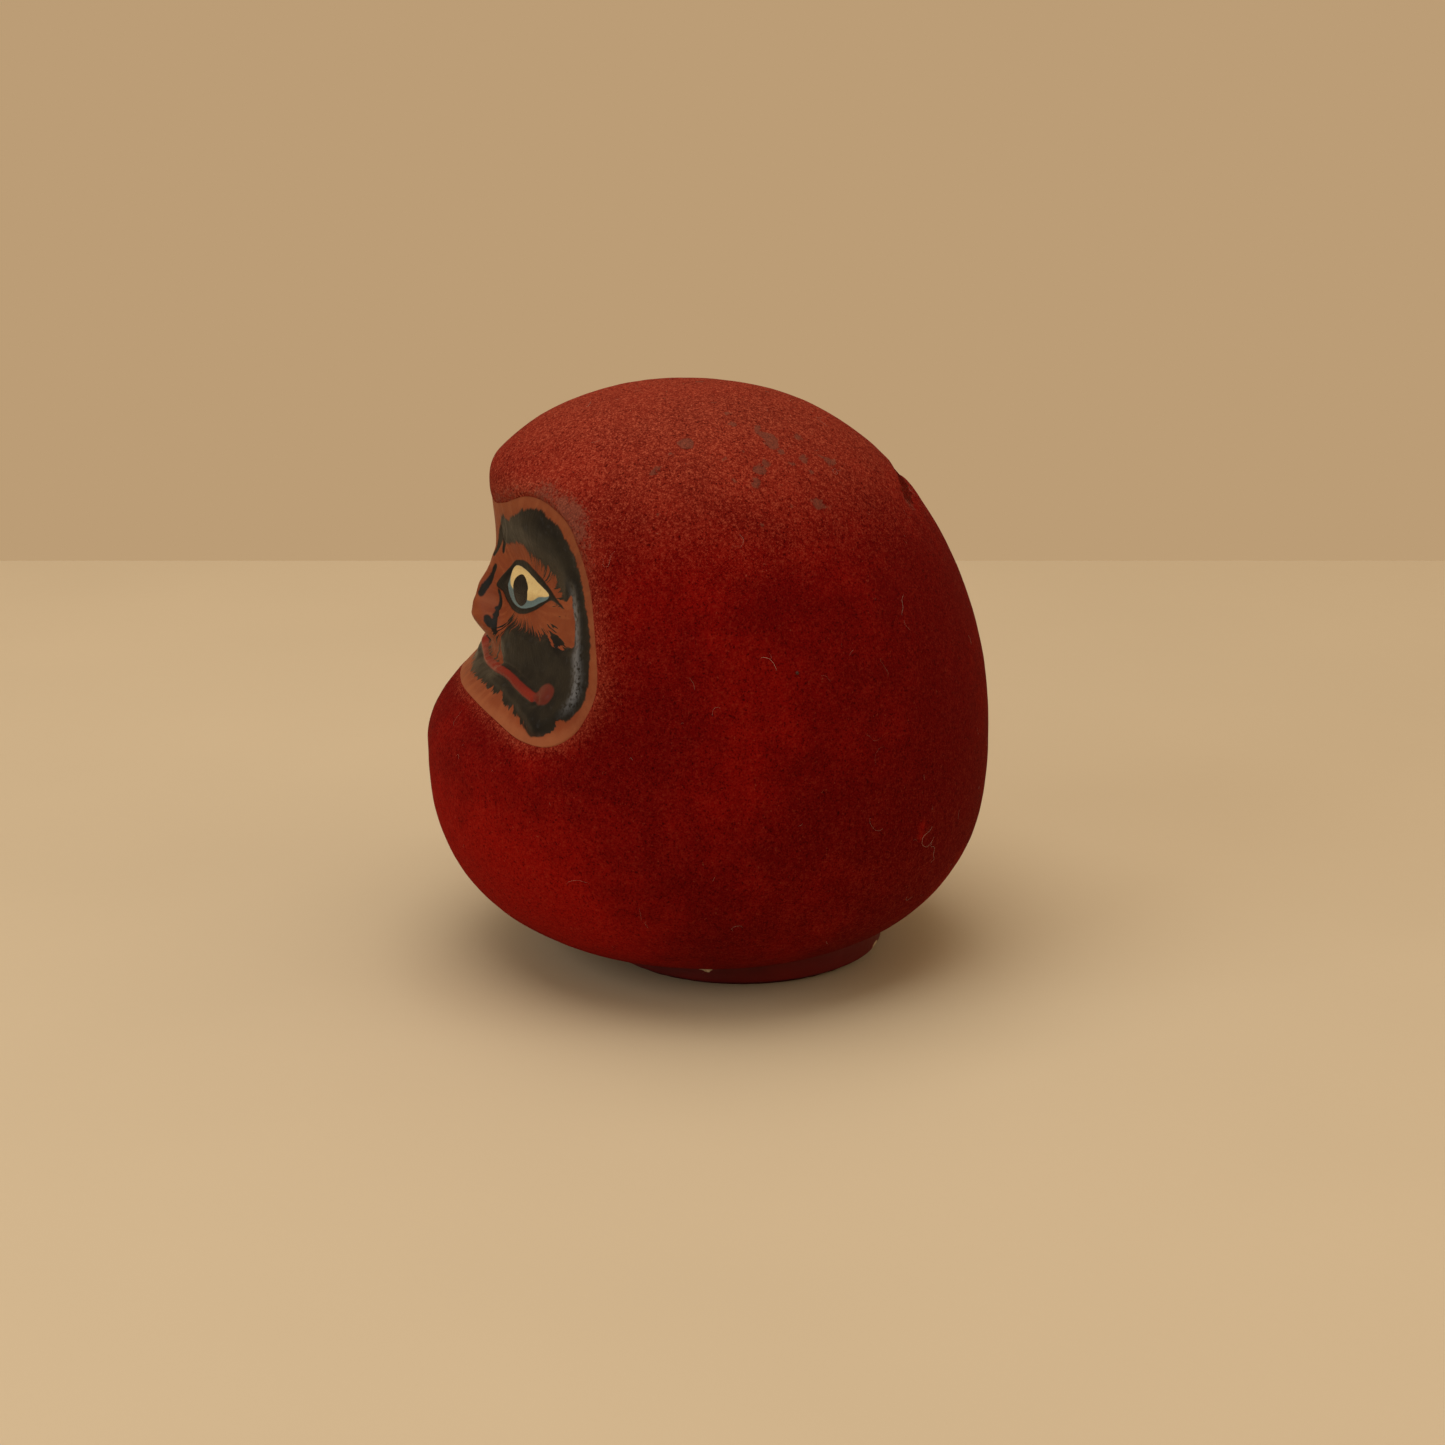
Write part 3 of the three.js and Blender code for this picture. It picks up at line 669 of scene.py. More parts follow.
def rounded(profile, radius, steps=4):
    """The same closed profile with each corner rounded off."""
    corners = [np.array(p) for p in profile]
    made = []
    for k, corner in enumerate(corners):
        before, after = corners[k - 1] - corner, corners[(k + 1) % len(corners)] - corner
        reach = min(radius, np.linalg.norm(before) / 2.2, np.linalg.norm(after) / 2.2)
        start = corner + before / np.linalg.norm(before) * reach
        end = corner + after / np.linalg.norm(after) * reach
        for t in np.linspace(0, 1, steps):
            made.append(tuple((1 - t) ** 2 * start + 2 * t * (1 - t) * corner + t * t * end))
    return made


def uneven(points, scale, height):
    """Small random rises and dips over a set of points."""
    return np.array([noise.noise(Vector(p) * scale) for p in points]) * height


# ---- pieces --------------------------------------------------------------------------------------

SLOT_TILT = math.radians(54.5)
SLOT_WAY = np.array((0.0, math.cos(SLOT_TILT), math.sin(SLOT_TILT)))
SLOT_UP = np.array((0.0, -math.sin(SLOT_TILT), math.cos(SLOT_TILT)))
SLOT_HALF, SLOT_END = 18.0, 1.6
FOOT_Y = (FOOT_LOW.y + FOOT_HIGH.y) / 2

# Patches where the flock is rubbed or matted: a point in millimetres, its reach and its strength.
WORN_PATCHES = [
    ((19, 3, 105), 5, 0.24), ((28, 6, 100), 6, 0.26), ((33, 9, 95), 4, 0.26), ((22, 12, 101), 4, 0.22),
    ((42, -3, 88), 4, 0.42), ((33, 15, 92), 5, 0.40), ((21, 35, 85), 4, 0.45), ((20, 36, 80), 3, 0.35),
    ((22, -31, 96), 5, 0.26), ((30, -28, 93), 5, 0.30), ((8, -52, 46), 7, 0.22), ((-20, 10, 102), 6, 0.25),
    ((-31, 4, 96), 7, 0.35), ((0, 24, 101), 6, 0.25), ((-16, 38, 82), 5, 0.3), ((6, -6, 107), 6, 0.2),
    ((-42, 18, 70), 4, 0.3), ((49, 4, 47), 2.5, 0.2), ((25, 47, 40), 5, 0.2), ((-30, 40, 36), 6, 0.25),
]
# Stretches painted brighter: painted bounce light from the floor on the lower belly, and stretches where the
# pile is brushed up and looks brighter.
LIT_AND_BRUSHED_PATCHES = [
    ((36, -30, 16), 12, 0.6), ((24, -42, 26), 15, 1.0), ((30, -37, 20), 9, 0.5), ((45, -14, 78), 12, 0.35),
    ((50, -4, 52), 12, 0.25), ((43, 30, 35), 1.0, 0.8), ((43, 30, 33), 1.0, 0.8),
    ((43, 12, 92), 10, 0.3), ((47, 18, 76), 12, 0.25),
    ((-40, -26, 18), 16, 0.8), ((0, -50, 24), 16, 0.7), ((-46, 10, 60), 12, 0.3), ((0, 50, 56), 14, 0.3),
    ((-20, 46, 22), 10, 0.5), ((26, 40, 14), 9, 0.5), ((51, -6, 34), 8, 0.3),
]


def crown_spots(count=64):
    """Small bare spots scattered along both sides of the crown."""
    rng = np.random.default_rng(23)
    spots = []
    for k in range(count):
        side = 1 if k % 3 else -1
        middle = np.array((side * (26 + 8 * rng.normal()), 3 + 11 * rng.normal(), 99 + 4 * rng.normal()))
        way = (middle - CENTRE) / np.linalg.norm(middle - CENTRE)
        spots.append((points_at(way[None], 0.0)[0], 0.7 + 0.9 * rng.random() ** 2, 0.55 + 0.3 * rng.random()))
    return spots


def panel_line(margin):
    """The panel's whole outline, grown outwards by a margin."""
    mirrored = [(-x, z) for x, z in PANEL[-2:0:-1]]
    line = curve_through(PANEL + mirrored, True, 24)
    away = line - np.array(FACE_MIDDLE)
    return line + away / np.linalg.norm(away, axis=1)[:, None] * margin


def evenly(line, count):
    """A closed line taken again at even steps."""
    closed = np.vstack((line, line[:1]))
    reach = np.concatenate(([0], np.cumsum(np.linalg.norm(np.diff(closed, axis=0), axis=1))))
    at = np.linspace(0, reach[-1], count, endpoint=False)
    return np.stack([np.interp(at, reach, closed[:, k]) for k in (0, 1)], -1)


def slot_distance(points):
    """Distance in millimetres from the coin slot's edge, for points of the outer skin."""
    away = points - CENTRE
    along = np.maximum(np.abs(away[:, 0]) - (SLOT_HALF - SLOT_END), 0)
    across = away @ SLOT_UP
    distance = np.hypot(along, across) - SLOT_END
    return np.where(away @ SLOT_WAY > 0, distance, 99.0), across


def spread_of(points, patches):
    total = np.zeros(len(points))
    for middle, reach, strength in patches:
        total += strength * bump(np.linalg.norm(points - np.array(middle), axis=1), reach)
    return total


def coat_depth(ways, thickness, rim):
    """Depth of the flock's surface, rolled in at the face and the slot and a little uneven."""
    depth = hollow(ways)
    bare = points_at(ways, depth)
    roll = np.clip(rim, 0, thickness)
    depth = depth + thickness - np.sqrt(np.maximum(thickness**2 - (thickness - roll) ** 2, 0))
    slot, across = slot_distance(bare)
    depth = depth + 0.4 * (1 - smooth(slot / 1.2)) - 0.15 * bump(slot - 2.6, 1.6) * (across < 0)
    depth = depth + uneven(bare, 0.35, 0.05) + uneven(bare, 0.09, 0.16)
    return depth + 0.12 * smooth(spread_of(bare, WORN_PATCHES) / 0.5)


def cut_piece(piece, cutter):
    """Takes a cutter away from a piece and deletes the cutter."""
    change = piece.modifiers.new("cut", "BOOLEAN")
    change.operation = "DIFFERENCE"
    change.solver = "MANIFOLD"
    change.object = cutter
    bpy.context.view_layer.update()
    shapes = bpy.context.evaluated_depsgraph_get()
    made = bpy.data.meshes.new_from_object(piece.evaluated_get(shapes))
    piece.modifiers.remove(change)
    if len(made.polygons) < len(piece.data.polygons) // 2:
        raise RuntimeError(f"cutting {piece.name} lost most of it")
    piece.data = made
    bpy.data.objects.remove(cutter)


def cutter_from(points, faces):
    mesh = bpy.data.meshes.new("cutter")
    mesh.from_pydata([tuple(p) for p in points], [], faces)
    cutter = bpy.data.objects.new("cutter", mesh)
    bpy.context.scene.collection.objects.link(cutter)
    return cutter


def slot_cutter(margin):
    """A round-ended bar square to the nape."""
    half, end = SLOT_HALF + margin, SLOT_END + margin
    turn = np.linspace(-math.pi / 2, math.pi / 2, 13)
    right = [(half - end + end * math.cos(a), end * math.sin(a)) for a in turn]
    loop = right + [(-x, -y) for x, y in right]
    points = [
        (CENTRE + SLOT_WAY * far + np.array((1.0, 0, 0)) * x + SLOT_UP * y) * MM
        for far in (30.0, 75.0)
        for x, y in loop
    ]
    return cutter_from(points, capped(2, len(loop)))


def disc_cutter(radius, low, high):
    angles = np.linspace(0, 2 * math.pi, 160, endpoint=False)
    points = [
        (radius * math.cos(a), FOOT_Y + radius * math.sin(a), z) for z in (low, high) for a in angles
    ]
    return cutter_from(points, capped(2, len(angles)))


def make_coat(settings):
    """The coat of flock: an outer sheet of rings that run back from the face, over a plain inner one."""
    segments, rings, inner_rings = 380, 200, 30
    thickness = settings.thickness / MM
    rim_line = evenly(panel_line(0.0), segments)
    starts = skin_way(rim_line[:, 0], rim_line[:, 1])
    middle = skin_way(*FACE_MIDDLE)
    open_angle = np.arccos(starts @ middle)
    sideways = (starts - middle * np.cos(open_angle)[:, None]) / np.sin(open_angle)[:, None]

    def ways_at(share):
        angle = open_angle + (math.pi - open_angle) * share
        return middle * np.cos(angle)[:, None] + sideways * np.sin(angle)[:, None], angle

    nape = -middle[None]  # where the rings end
    far_from_rim = np.array((99.0,))
    points = []
    for ring in range(rings):
        ways, angle = ways_at((ring / rings) ** 1.4)
        rim = (angle - open_angle) * skin_radius(ways)
        points.append(points_at(ways, coat_depth(ways, thickness, rim), COAT_FLOOR))
    points.append(points_at(nape, coat_depth(nape, thickness, far_from_rim), COAT_FLOOR))
    for ring in range(inner_rings):
        ways, _ = ways_at((ring / inner_rings) ** 1.2)
        points.append(points_at(ways, hollow(ways) + thickness + 0.05, COAT_FLOOR + thickness))
    points.append(points_at(nape, hollow(nape) + thickness + 0.05, COAT_FLOOR))
    outer_pole = rings * segments
    inner = outer_pole + 1
    inner_pole = inner + inner_rings * segments
    faces = [face[::-1] for face in ring_faces(rings, segments)]
    faces += ring_faces(inner_rings, segments, inner)
    for k in range(segments):
        after = (k + 1) % segments
        last = (rings - 1) * segments
        faces.append((last + after, last + k, outer_pole))
        inner_last = inner + (inner_rings - 1) * segments
        faces.append((inner_last + k, inner_last + after, inner_pole))
        faces.append((k, after, inner + after, inner + k))
    piece = new_piece("flock", np.concatenate(points) * MM, faces, flock_finish(settings))
    cut_piece(piece, slot_cutter(settings.slot_margin / MM))
    cut_piece(piece, disc_cutter((FOOT_HIGH.x - FOOT_LOW.x) / 2 + 0.0003, -0.01, 0.012))
    piece.data.shade_smooth()
    piece.data.set_sharp_from_angle(angle=math.radians(50))
    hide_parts("flock_coat")
    store_coat_fields(piece)
    return piece


def store_coat_fields(piece):
    """Where a piece of the coat is dusty, worn or brushed up, and where painted light lightens it."""
    points = vertices_of(piece) / MM
    ways = ways_of(points * MM)
    x, z, forward = skin_place(ways)
    rim = np.where(forward > 0, -inside(evenly(panel_line(0.0), 160), x, z), 99.0)
    slot, _ = slot_distance(points)
    top = smooth((points[:, 2] - 78) / 29)
    back = smooth((points[:, 1] + 20) / 60) * smooth((60 - points[:, 2]) / 60)
    matted = 0.5 * bump(np.maximum(rim - 0.2, 0), 2.6) * (0.45 + 0.55 * smooth((z - 50) / 40))
    wear = spread_of(points, WORN_PATCHES + crown_spots()) + matted + 0.45 * bump(np.maximum(slot, 0), 1.2)
    store(piece, "dust", 0.12 + 0.55 * top + 0.1 * back + 0.35 * bump(np.maximum(rim, 0), 2.0))
    store(piece, "wear", wear)
    # Painted bounce light on the lower belly and painted top light over the crown, with brushed-up stretches.
    store(piece, "painted_light_and_brushing", spread_of(points, LIT_AND_BRUSHED_PATCHES) + 0.34 * top)


def triangles_of(mesh):
    mesh.calc_loop_triangles()
    corners = np.empty(len(mesh.loop_triangles) * 3, np.int32)
    mesh.loop_triangles.foreach_get("vertices", corners)
    return corners.reshape(-1, 3)


def spots_on(piece, count, rng, keep):
    """Random places on the outside of a piece, as points and outward normals in metres."""
    points = vertices_of(piece)
    corners = points[triangles_of(piece.data)]
    crossed = np.cross(corners[:, 1] - corners[:, 0], corners[:, 2] - corners[:, 0])
    area = np.linalg.norm(crossed, axis=1)
    normals = crossed / np.maximum(area, 1e-15)[:, None]
    middles = corners.mean(axis=1)
    outwards = np.einsum("ij,ij->i", normals, ways_of(middles)) > 0.25
    area = np.where(outwards & keep(middles), area, 0)
    picked = rng.choice(len(area), count, p=area / area.sum())
    u, v = rng.random(count), rng.random(count)
    flip = u + v > 1
    u, v = np.where(flip, 1 - u, u), np.where(flip, 1 - v, v)
    a, b, c = (corners[picked, k] for k in range(3))
    return a + (b - a) * u[:, None] + (c - a) * v[:, None], normals[picked]


def make_nap(coat, settings):
    """Single fibres that stand up out of the coat, each a slim three-sided spike."""
    count = settings.fibres
    if not count:
        raise RuntimeError("the nap needs at least one fibre")
    rng = np.random.default_rng(7)
    roots, normals = spots_on(coat, count, rng, lambda p: p[:, 2] > 0.004)
    lean = rng.normal(size=(count, 3)) * 0.55
    reach = settings.fibre_length * (0.45 + 0.55 * rng.random(count))[:, None]
    tips = roots + (normals + lean) / np.linalg.norm(normals + lean, axis=1)[:, None] * reach
    side = np.cross(normals, rng.normal(size=(count, 3)))
    side /= np.linalg.norm(side, axis=1)[:, None]
    other = np.cross(normals, side)
    width = 0.000035 * (0.7 + 0.6 * rng.random(count))[:, None]
    sunk = roots - normals * 0.00006
    corners = [
        sunk + side * width,
        sunk - side * width / 2 + other * width,
        sunk - side * width / 2 - other * width,
    ]
    points = np.stack(corners + [tips], 1).reshape(-1, 3)
    faces = []
    for k in range(0, 4 * count, 4):
        faces += [(k, k + 1, k + 3), (k + 1, k + 2, k + 3), (k + 2, k, k + 3), (k + 2, k + 1, k)]
    piece = new_piece("nap", points, faces, fibre_finish(settings))
    store(piece, "tone", np.repeat(rng.random(count) ** 1.6, 4))
    store(piece, "dust", np.repeat(0.1 + 0.6 * smooth((roots[:, 2] / MM - 66) / 40), 4))
    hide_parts("flock_coat")
    return piece


def make_face(settings):
    """The painted relief: a fine front sheet over a plain back sheet, rolled over at its edge."""
    segments, rings = 480, 104
    line = evenly(panel_line(0.5), segments)
    middle = np.array(FACE_MIDDLE)
    shares = np.concatenate((np.linspace(0.01, 0.97, rings - 8), np.linspace(0.972, 1.0, 8)))
    places = [middle + (line - middle) * share for share in shares]
    places = np.concatenate([middle[None]] + places)
    x, z = places[:, 0], places[:, 1]
    ways = skin_way(x, z)
    paint = drawing(x, z)
    share = np.concatenate(([0.0], np.repeat(shares, segments)))
    depth = face_depth(x, z, ways, paint) + 0.25 * smooth((share - 0.99) / 0.01) ** 2
    depth = depth + uneven(np.stack((x, z, x * 0), -1), 0.4, 0.06)
    front = points_at(ways, depth)
    back_shares = (0.5, 1.0)
    back_places = np.concatenate([middle[None]] + [middle + (line - middle) * s for s in back_shares])
    back_ways = skin_way(back_places[:, 0], back_places[:, 1])
    back = points_at(back_ways, hollow(back_ways) + 2.6)
    start = len(front)
    faces = ring_faces(rings, segments, 1) + [
        face[::-1] for face in ring_faces(len(back_shares), segments, start + 1)
    ]
    front_edge = 1 + (rings - 1) * segments
    back_edge = start + 1 + segments
    for k in range(segments):
        after = (k + 1) % segments
        faces.append((0, 1 + after, 1 + k)[::-1])
        faces.append((start, start + 1 + k, start + 1 + after)[::-1])
        faces.append((front_edge + k, front_edge + after, back_edge + after, back_edge + k))
    piece = new_piece("face", np.concatenate((front, back)) * MM, faces, face_finish(settings))
    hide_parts("face_relief")
    store_face_fields(piece, np.concatenate((places, back_places)))
    return piece


def store_face_fields(piece, places):
    x, z = places[:, 0], places[:, 1]
    side = np.abs(x)
    paint = drawing(x, z)
    for name in ("hair", "eyelid", "sclera", "lip", "curl", "wrinkle"):
        store(piece, name, paint[name])
    store(piece, "cream", inside(curve_through(CREAM, True, 6), side, z))
    # Where the painted highlight runs along the black band's ridge.
    ridge = bump(paint["panel"] - 3.3, 0.75) * smooth((side - 29) / 5)
    store(piece, "ridge", ridge * smooth((86 - z) / 8) * smooth((z - 57) / 6))
    store(piece, "pupil", inside(curve_through(PUPIL, True, 6), side, z))
    loose = smooth((paint["panel"] - 5.0) / 2.5) * smooth((z - 60) / 4)
    chin = 0.35 * smooth((62 - z) / 3) * smooth((paint["panel"] - 1.5) / 1.5)
    store(piece, "feather", np.clip(0.06 + loose + chin, 0, 1) * 0.42)
    angle = np.arctan2(z - EYE_CENTRE[1], side - EYE_CENTRE[0])
    reach = np.hypot(side - EYE_CENTRE[0], z - EYE_CENTRE[1])
    store(piece, "sweep", np.stack((angle * 9.0, reach, x * 0.15), -1))
    store(piece, "dust", 0.55 * smooth((3.5 - paint["panel"]) / 3.5) + 0.35 * smooth((58 - z) / 5))


def underside_height(x, y):
    """Height of the coat's underside over a point of the table, in millimetres."""
    level = np.hypot(x, y - BODY_Y)
    azimuth = np.arctan2(x, -(y - BODY_Y))
    radius, _ = girth(azimuth)
    share = np.clip(level / radius, 0, 0.98)
    return np.maximum(WAIST - KEEL * (1 - share**LOW_POWER) ** (1 / LOW_POWER), COAT_FLOOR)


def make_foot(settings):
    """The clay foot: a turned wall whose top follows the doll's underside, round a stepped bore."""
    low, high = FOOT_LOW.z / MM, FOOT_HIGH.z / MM
    wall, seat, bore, collar = settings.radius / MM, 17.0, 13.9, 18.7
    shoulder, step = 4.3, 3.4
    profile = [
        (seat, low), (wall, low), (wall, shoulder), (collar, shoulder),
        (collar, high), (bore, high), (bore, step), (seat, step),
    ]
    profile = rounded(profile, 0.55, 6)
    points, faces = turned(profile, FOOT_Y / MM, 240)
    points = np.array(points)
    x, y, z = points.T
    reach = np.hypot(x, y - FOOT_Y / MM)
    rise = underside_height(x, y) + 0.75 - shoulder
    outer = (reach > collar + 0.1) & (z > 2.4)
    points[:, 2] = np.where(outer, z + np.maximum(rise, 0) * np.clip((z - 2.4) / 1.9, 0, 1), z)
    swell = uneven(points, 0.12, 0.16) + uneven(points, 0.6, 0.04)
    points[:, 0] += swell * x / reach * (reach > 25)
    points[:, 1] += swell * (y - FOOT_Y / MM) / reach * (reach > 25)
    piece = new_piece("foot", points * MM, faces, foot_finish(settings), sharp=60)
    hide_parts("base_weight")
    points = vertices_of(piece) / MM
    angle = np.arctan2(points[:, 1] - FOOT_Y / MM, points[:, 0])
    chips = [  # degrees round the foot, height, half-width and half-height
        (-26, 3.1, 2.2, 1.3), (-80, 1.0, 1.4, 0.7), (60, 1.1, 1.8, 0.7), (150, 3.6, 1.6, 0.8),
        (-150, 1.2, 2.4, 0.8),
    ]
    chip = np.full(len(points), -5.0)
    for at, height, half_width, half_height in chips:
        turn = (angle - math.radians(at) + math.pi) % (2 * math.pi) - math.pi
        off = np.hypot(turn * wall / half_width, (points[:, 2] - height) / half_height)
        chip = np.maximum(chip, (1 - off) * half_height)
    store(piece, "chip", np.where(np.hypot(points[:, 0], points[:, 1] - FOOT_Y / MM) > 25, chip, -5))
    store(piece, "edge", 0.35 * bump(points[:, 2] - low, 0.5))
    return piece


def make_paper():
    """The ring of paper pasted under the foot, its rim a little ragged."""
    inner, outer = 0.018, (PAPER_HIGH.x - PAPER_LOW.x) / 2
    top = PAPER_HIGH.z
    profile = rounded([(inner, 0.0), (outer, 0.0), (outer, top), (inner, top)], 0.00012, 3)
    points, faces = turned(profile, FOOT_Y, 240)
    points = np.array(points)
    away = points - np.array((0, FOOT_Y, 0))
    reach = np.hypot(away[:, 0], away[:, 1])
    ragged = uneven(points / MM * np.array((1, 1, 0)), 0.5, 0.00015) - 0.00012
    points[:, :2] += away[:, :2] / reach[:, None] * (ragged * (reach > 0.022))[:, None]
    finish = paper_finish("pasted_paper", (0.48, 0.38, 0.25), (0.62, 0.53, 0.38), stained_and_shaded_edge=True)
    piece = new_piece("paper_ring", points, faces, finish, sharp=50)
    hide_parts("base_paper")
    made_at = vertices_of(piece)
    # The dark rim: paint stain and painted shade.
    store(piece, "edge", smooth((np.hypot(made_at[:, 0], made_at[:, 1] - FOOT_Y) / outer - 0.962) / 0.02))
    return piece


def make_stopper(settings):
    """The rubber stopper: a hollow plug under a dished flange, with a ridge to pull it by."""
    plug, bore = 0.0136, 0.0108
    flange = settings.stopper_radius
    low, flange_top, top = 0.0014, 0.0031, STOPPER_HIGH.z
    profile = [(0.0004, low + 0.0002), (flange - 0.0022, low + 0.0002), (flange - 0.0018, low), (flange, low),
               (flange, flange_top), (plug, flange_top), (plug, 0.0055), (plug - 0.0002, 0.0058),
               (plug, 0.0061), (plug, top - 0.0009), (plug - 0.0009, top), (bore, top),
               (bore, flange_top), (0.0004, flange_top)]
    points, faces = turned(rounded(profile, 0.0003, 4), FOOT_Y, 200)
    ridge_low = STOPPER_LOW.z
    half_length, half_width = 0.008, 0.0012
    turn = np.linspace(0, 2 * math.pi, 48, endpoint=False)
    start = len(points)
    levels = [(0.0017, 0.0, 0.0), (ridge_low + 0.0004, 0.0, 0.0), (ridge_low + 0.0001, 0.0002, 0.0002),
              (ridge_low, 0.0005, 0.0005)]
    for z, less_long, less_wide in levels:
        for a in turn:
            c, s = math.cos(a), math.sin(a)
            x = math.copysign(abs(c) ** 0.4, c) * (half_length - less_long)
            y = math.copysign(abs(s) ** 0.7, s) * (half_width - less_wide)
            points.append((x, FOOT_Y + y, z))
    faces += [face[::-1] for face in capped(len(levels), len(turn), start)]
    piece = new_piece(
        "rubber_stopper", points, faces, rubber_finish(), body="stopper", sharp=45
    )
    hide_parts("stopper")
    return piece


def tube(path, radius, sides=5):
    """A closed thin tube along a path, tapered to its ends."""
    path = np.array(path)
    along = np.gradient(path, axis=0)
    along /= np.linalg.norm(along, axis=1)[:, None]
    across = np.cross(along, np.array((0.31, 0.52, 0.79)))
    across /= np.linalg.norm(across, axis=1)[:, None]
    upward = np.cross(along, across)
    count = len(path)
    taper = radius * np.sqrt(np.clip(1 - np.abs(np.linspace(-1, 1, count)) ** 4, 0.08, 1))
    angles = np.linspace(0, 2 * math.pi, sides, endpoint=False)
    points = [
        path[k] + taper[k] * (across[k] * math.cos(a) + upward[k] * math.sin(a))
        for k in range(count)
        for a in angles
    ]
    return points, capped(count, sides)


def make_lint(coat):
    """Loose hairs caught on the flock: many short curly ones and a few long ones."""
    rng = np.random.default_rng(19)
    spots, _ = spots_on(coat, 150, rng, lambda p: p[:, 2] > 0.012)
    set_by_hand = [
        ((48.9, 0.6, 70.4), 4.2, 1.0), ((39.6, 32.4, 28.0), 9.0, 0.75), ((41.0, 29.0, 30.5), 7.0, 0.7),
        ((46.5, -8.0, 61.0), 3.0, 0.6), ((37.0, -30.0, 30.0), 5.0, 0.6),
    ]
    hairs = [(np.array(p), reach, tone) for p, reach, tone in set_by_hand]
    hairs += [(p / MM, 0.8 + 5.0 * rng.random() ** 3, 0.12 + 0.5 * rng.random()) for p in spots]
    points, faces, tones = [], [], []
    for middle, reach, tone in hairs:
        outward = (middle - CENTRE) / np.linalg.norm(middle - CENTRE)
        heading = np.cross(outward, rng.normal(size=3))
        heading /= np.linalg.norm(heading)
        steps = max(int(reach * 3.5), 7)
        bend = 0.06 + 0.3 * rng.random() ** 2
        swing = rng.normal() * 0.25
        path, here = [], middle - heading * reach / 2
        for _ in range(steps):
            swing = swing * 0.85 + rng.normal() * bend
            turned_way = heading * math.cos(swing) + np.cross(outward, heading) * math.sin(swing)
            heading = turned_way / np.linalg.norm(turned_way)
            here = here + heading * reach / steps
            way = (here - CENTRE) / np.linalg.norm(here - CENTRE)
            height = 0.10 + 0.16 * rng.random()
            path.append((points_at(way[None], hollow(way[None]) - height)[0]) * MM)
        made, sheets = tube(path, 0.000007 + 0.000009 * rng.random())
        start = len(points)
        points += made
        faces += [tuple(start + k for k in face) for face in sheets]
        tones += [tone] * len(made)
    piece = new_piece("lint", points, faces, hair_finish())
    store(piece, "tone", tones)
    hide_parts("flock_coat")
    return piece


def make_specks(coat):
    """Grains of dust and dirt that sit in the flock, each a small uneven lump."""
    rng = np.random.default_rng(41)
    spots, normals = spots_on(coat, 340, rng, lambda p: p[:, 2] > 0.012)
    grains = [
        (place, normal, 0.00005 + 0.00013 * rng.random() ** 3, 0.35 + 0.5 * rng.random())
        for place, normal in zip(spots, normals)
    ]
    mole = np.array((49.6, 5.3, 66.7))
    outward = (mole - CENTRE) / np.linalg.norm(mole - CENTRE)
    grains.append((points_at(outward[None], hollow(outward[None]) - 0.05)[0] * MM, outward, 0.00034, 0.0))
    waist = [(1, 0, 0), (0.3, 0.95, 0), (-0.8, 0.6, 0), (-0.8, -0.6, 0), (0.3, -0.95, 0)]
    shape = [(0, 0, 1)] + waist + [(0, 0, -1)]
    caps = [(0, k, k % 5 + 1) for k in range(1, 6)] + [(6, k % 5 + 1, k) for k in range(1, 6)]
    points, faces, tones = [], [], []
    for place, normal, radius, tone in grains:
        across = np.cross(normal, rng.normal(size=3))
        across /= np.linalg.norm(across)
        upward = np.cross(normal, across)
        start = len(points)
        for x, y, z in shape:
            jitter = radius * (0.75 + 0.5 * rng.random())
            points.append(place + jitter * (across * x + upward * y + normal * (z * 0.7)))
        faces += [tuple(start + k for k in face) for face in caps]
        tones += [tone] * len(shape)
    piece = new_piece("dust_specks", points, faces, hair_finish())
    store(piece, "tone", tones)
    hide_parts("flock_coat")
    return piece


def dress_frame():
    """Puts finishes on the pieces that keep their frame shape."""
    pulp = pulp_finish()
    tape = paper_finish("seam_paper", (0.60, 0.53, 0.40), (0.74, 0.69, 0.56))
    for name, finish in (("front_shell", pulp), ("rear_shell", pulp), ("seam_tape", tape)):
        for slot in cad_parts[name].material_slots:
            slot.material = finish


# ---- stage ---------------------------------------------------------------------------------------

VIEW_TURN, VIEW_LIFT = math.radians(12), math.radians(17)
VIEW_DISTANCE = 0.5328
VIEW_TARGET = Vector((0, 0.00283, 0.0432))
FLOOR_BEHIND, FLOOR_AHEAD, FLOOR_HALF = 0.307, 3.0, 3.0  # the floor's reach from the doll
FLOOR_STEPS = 8
BACKDROP_STRENGTH = 0.85


def area_light(name, place, size, power, tint, aim=(0, 0, 0.045)):
    data = bpy.data.lights.new(name, "AREA")
    data.shape = "RECTANGLE"
    data.size, data.size_y = size
    data.energy = power
    data.color = tint
    light = bpy.data.objects.new(name, data)
    light.location = place
    light.rotation_euler = (Vector(aim) - Vector(place)).to_track_quat("-Z", "Y").to_euler()
    bpy.context.scene.collection.objects.link(light)


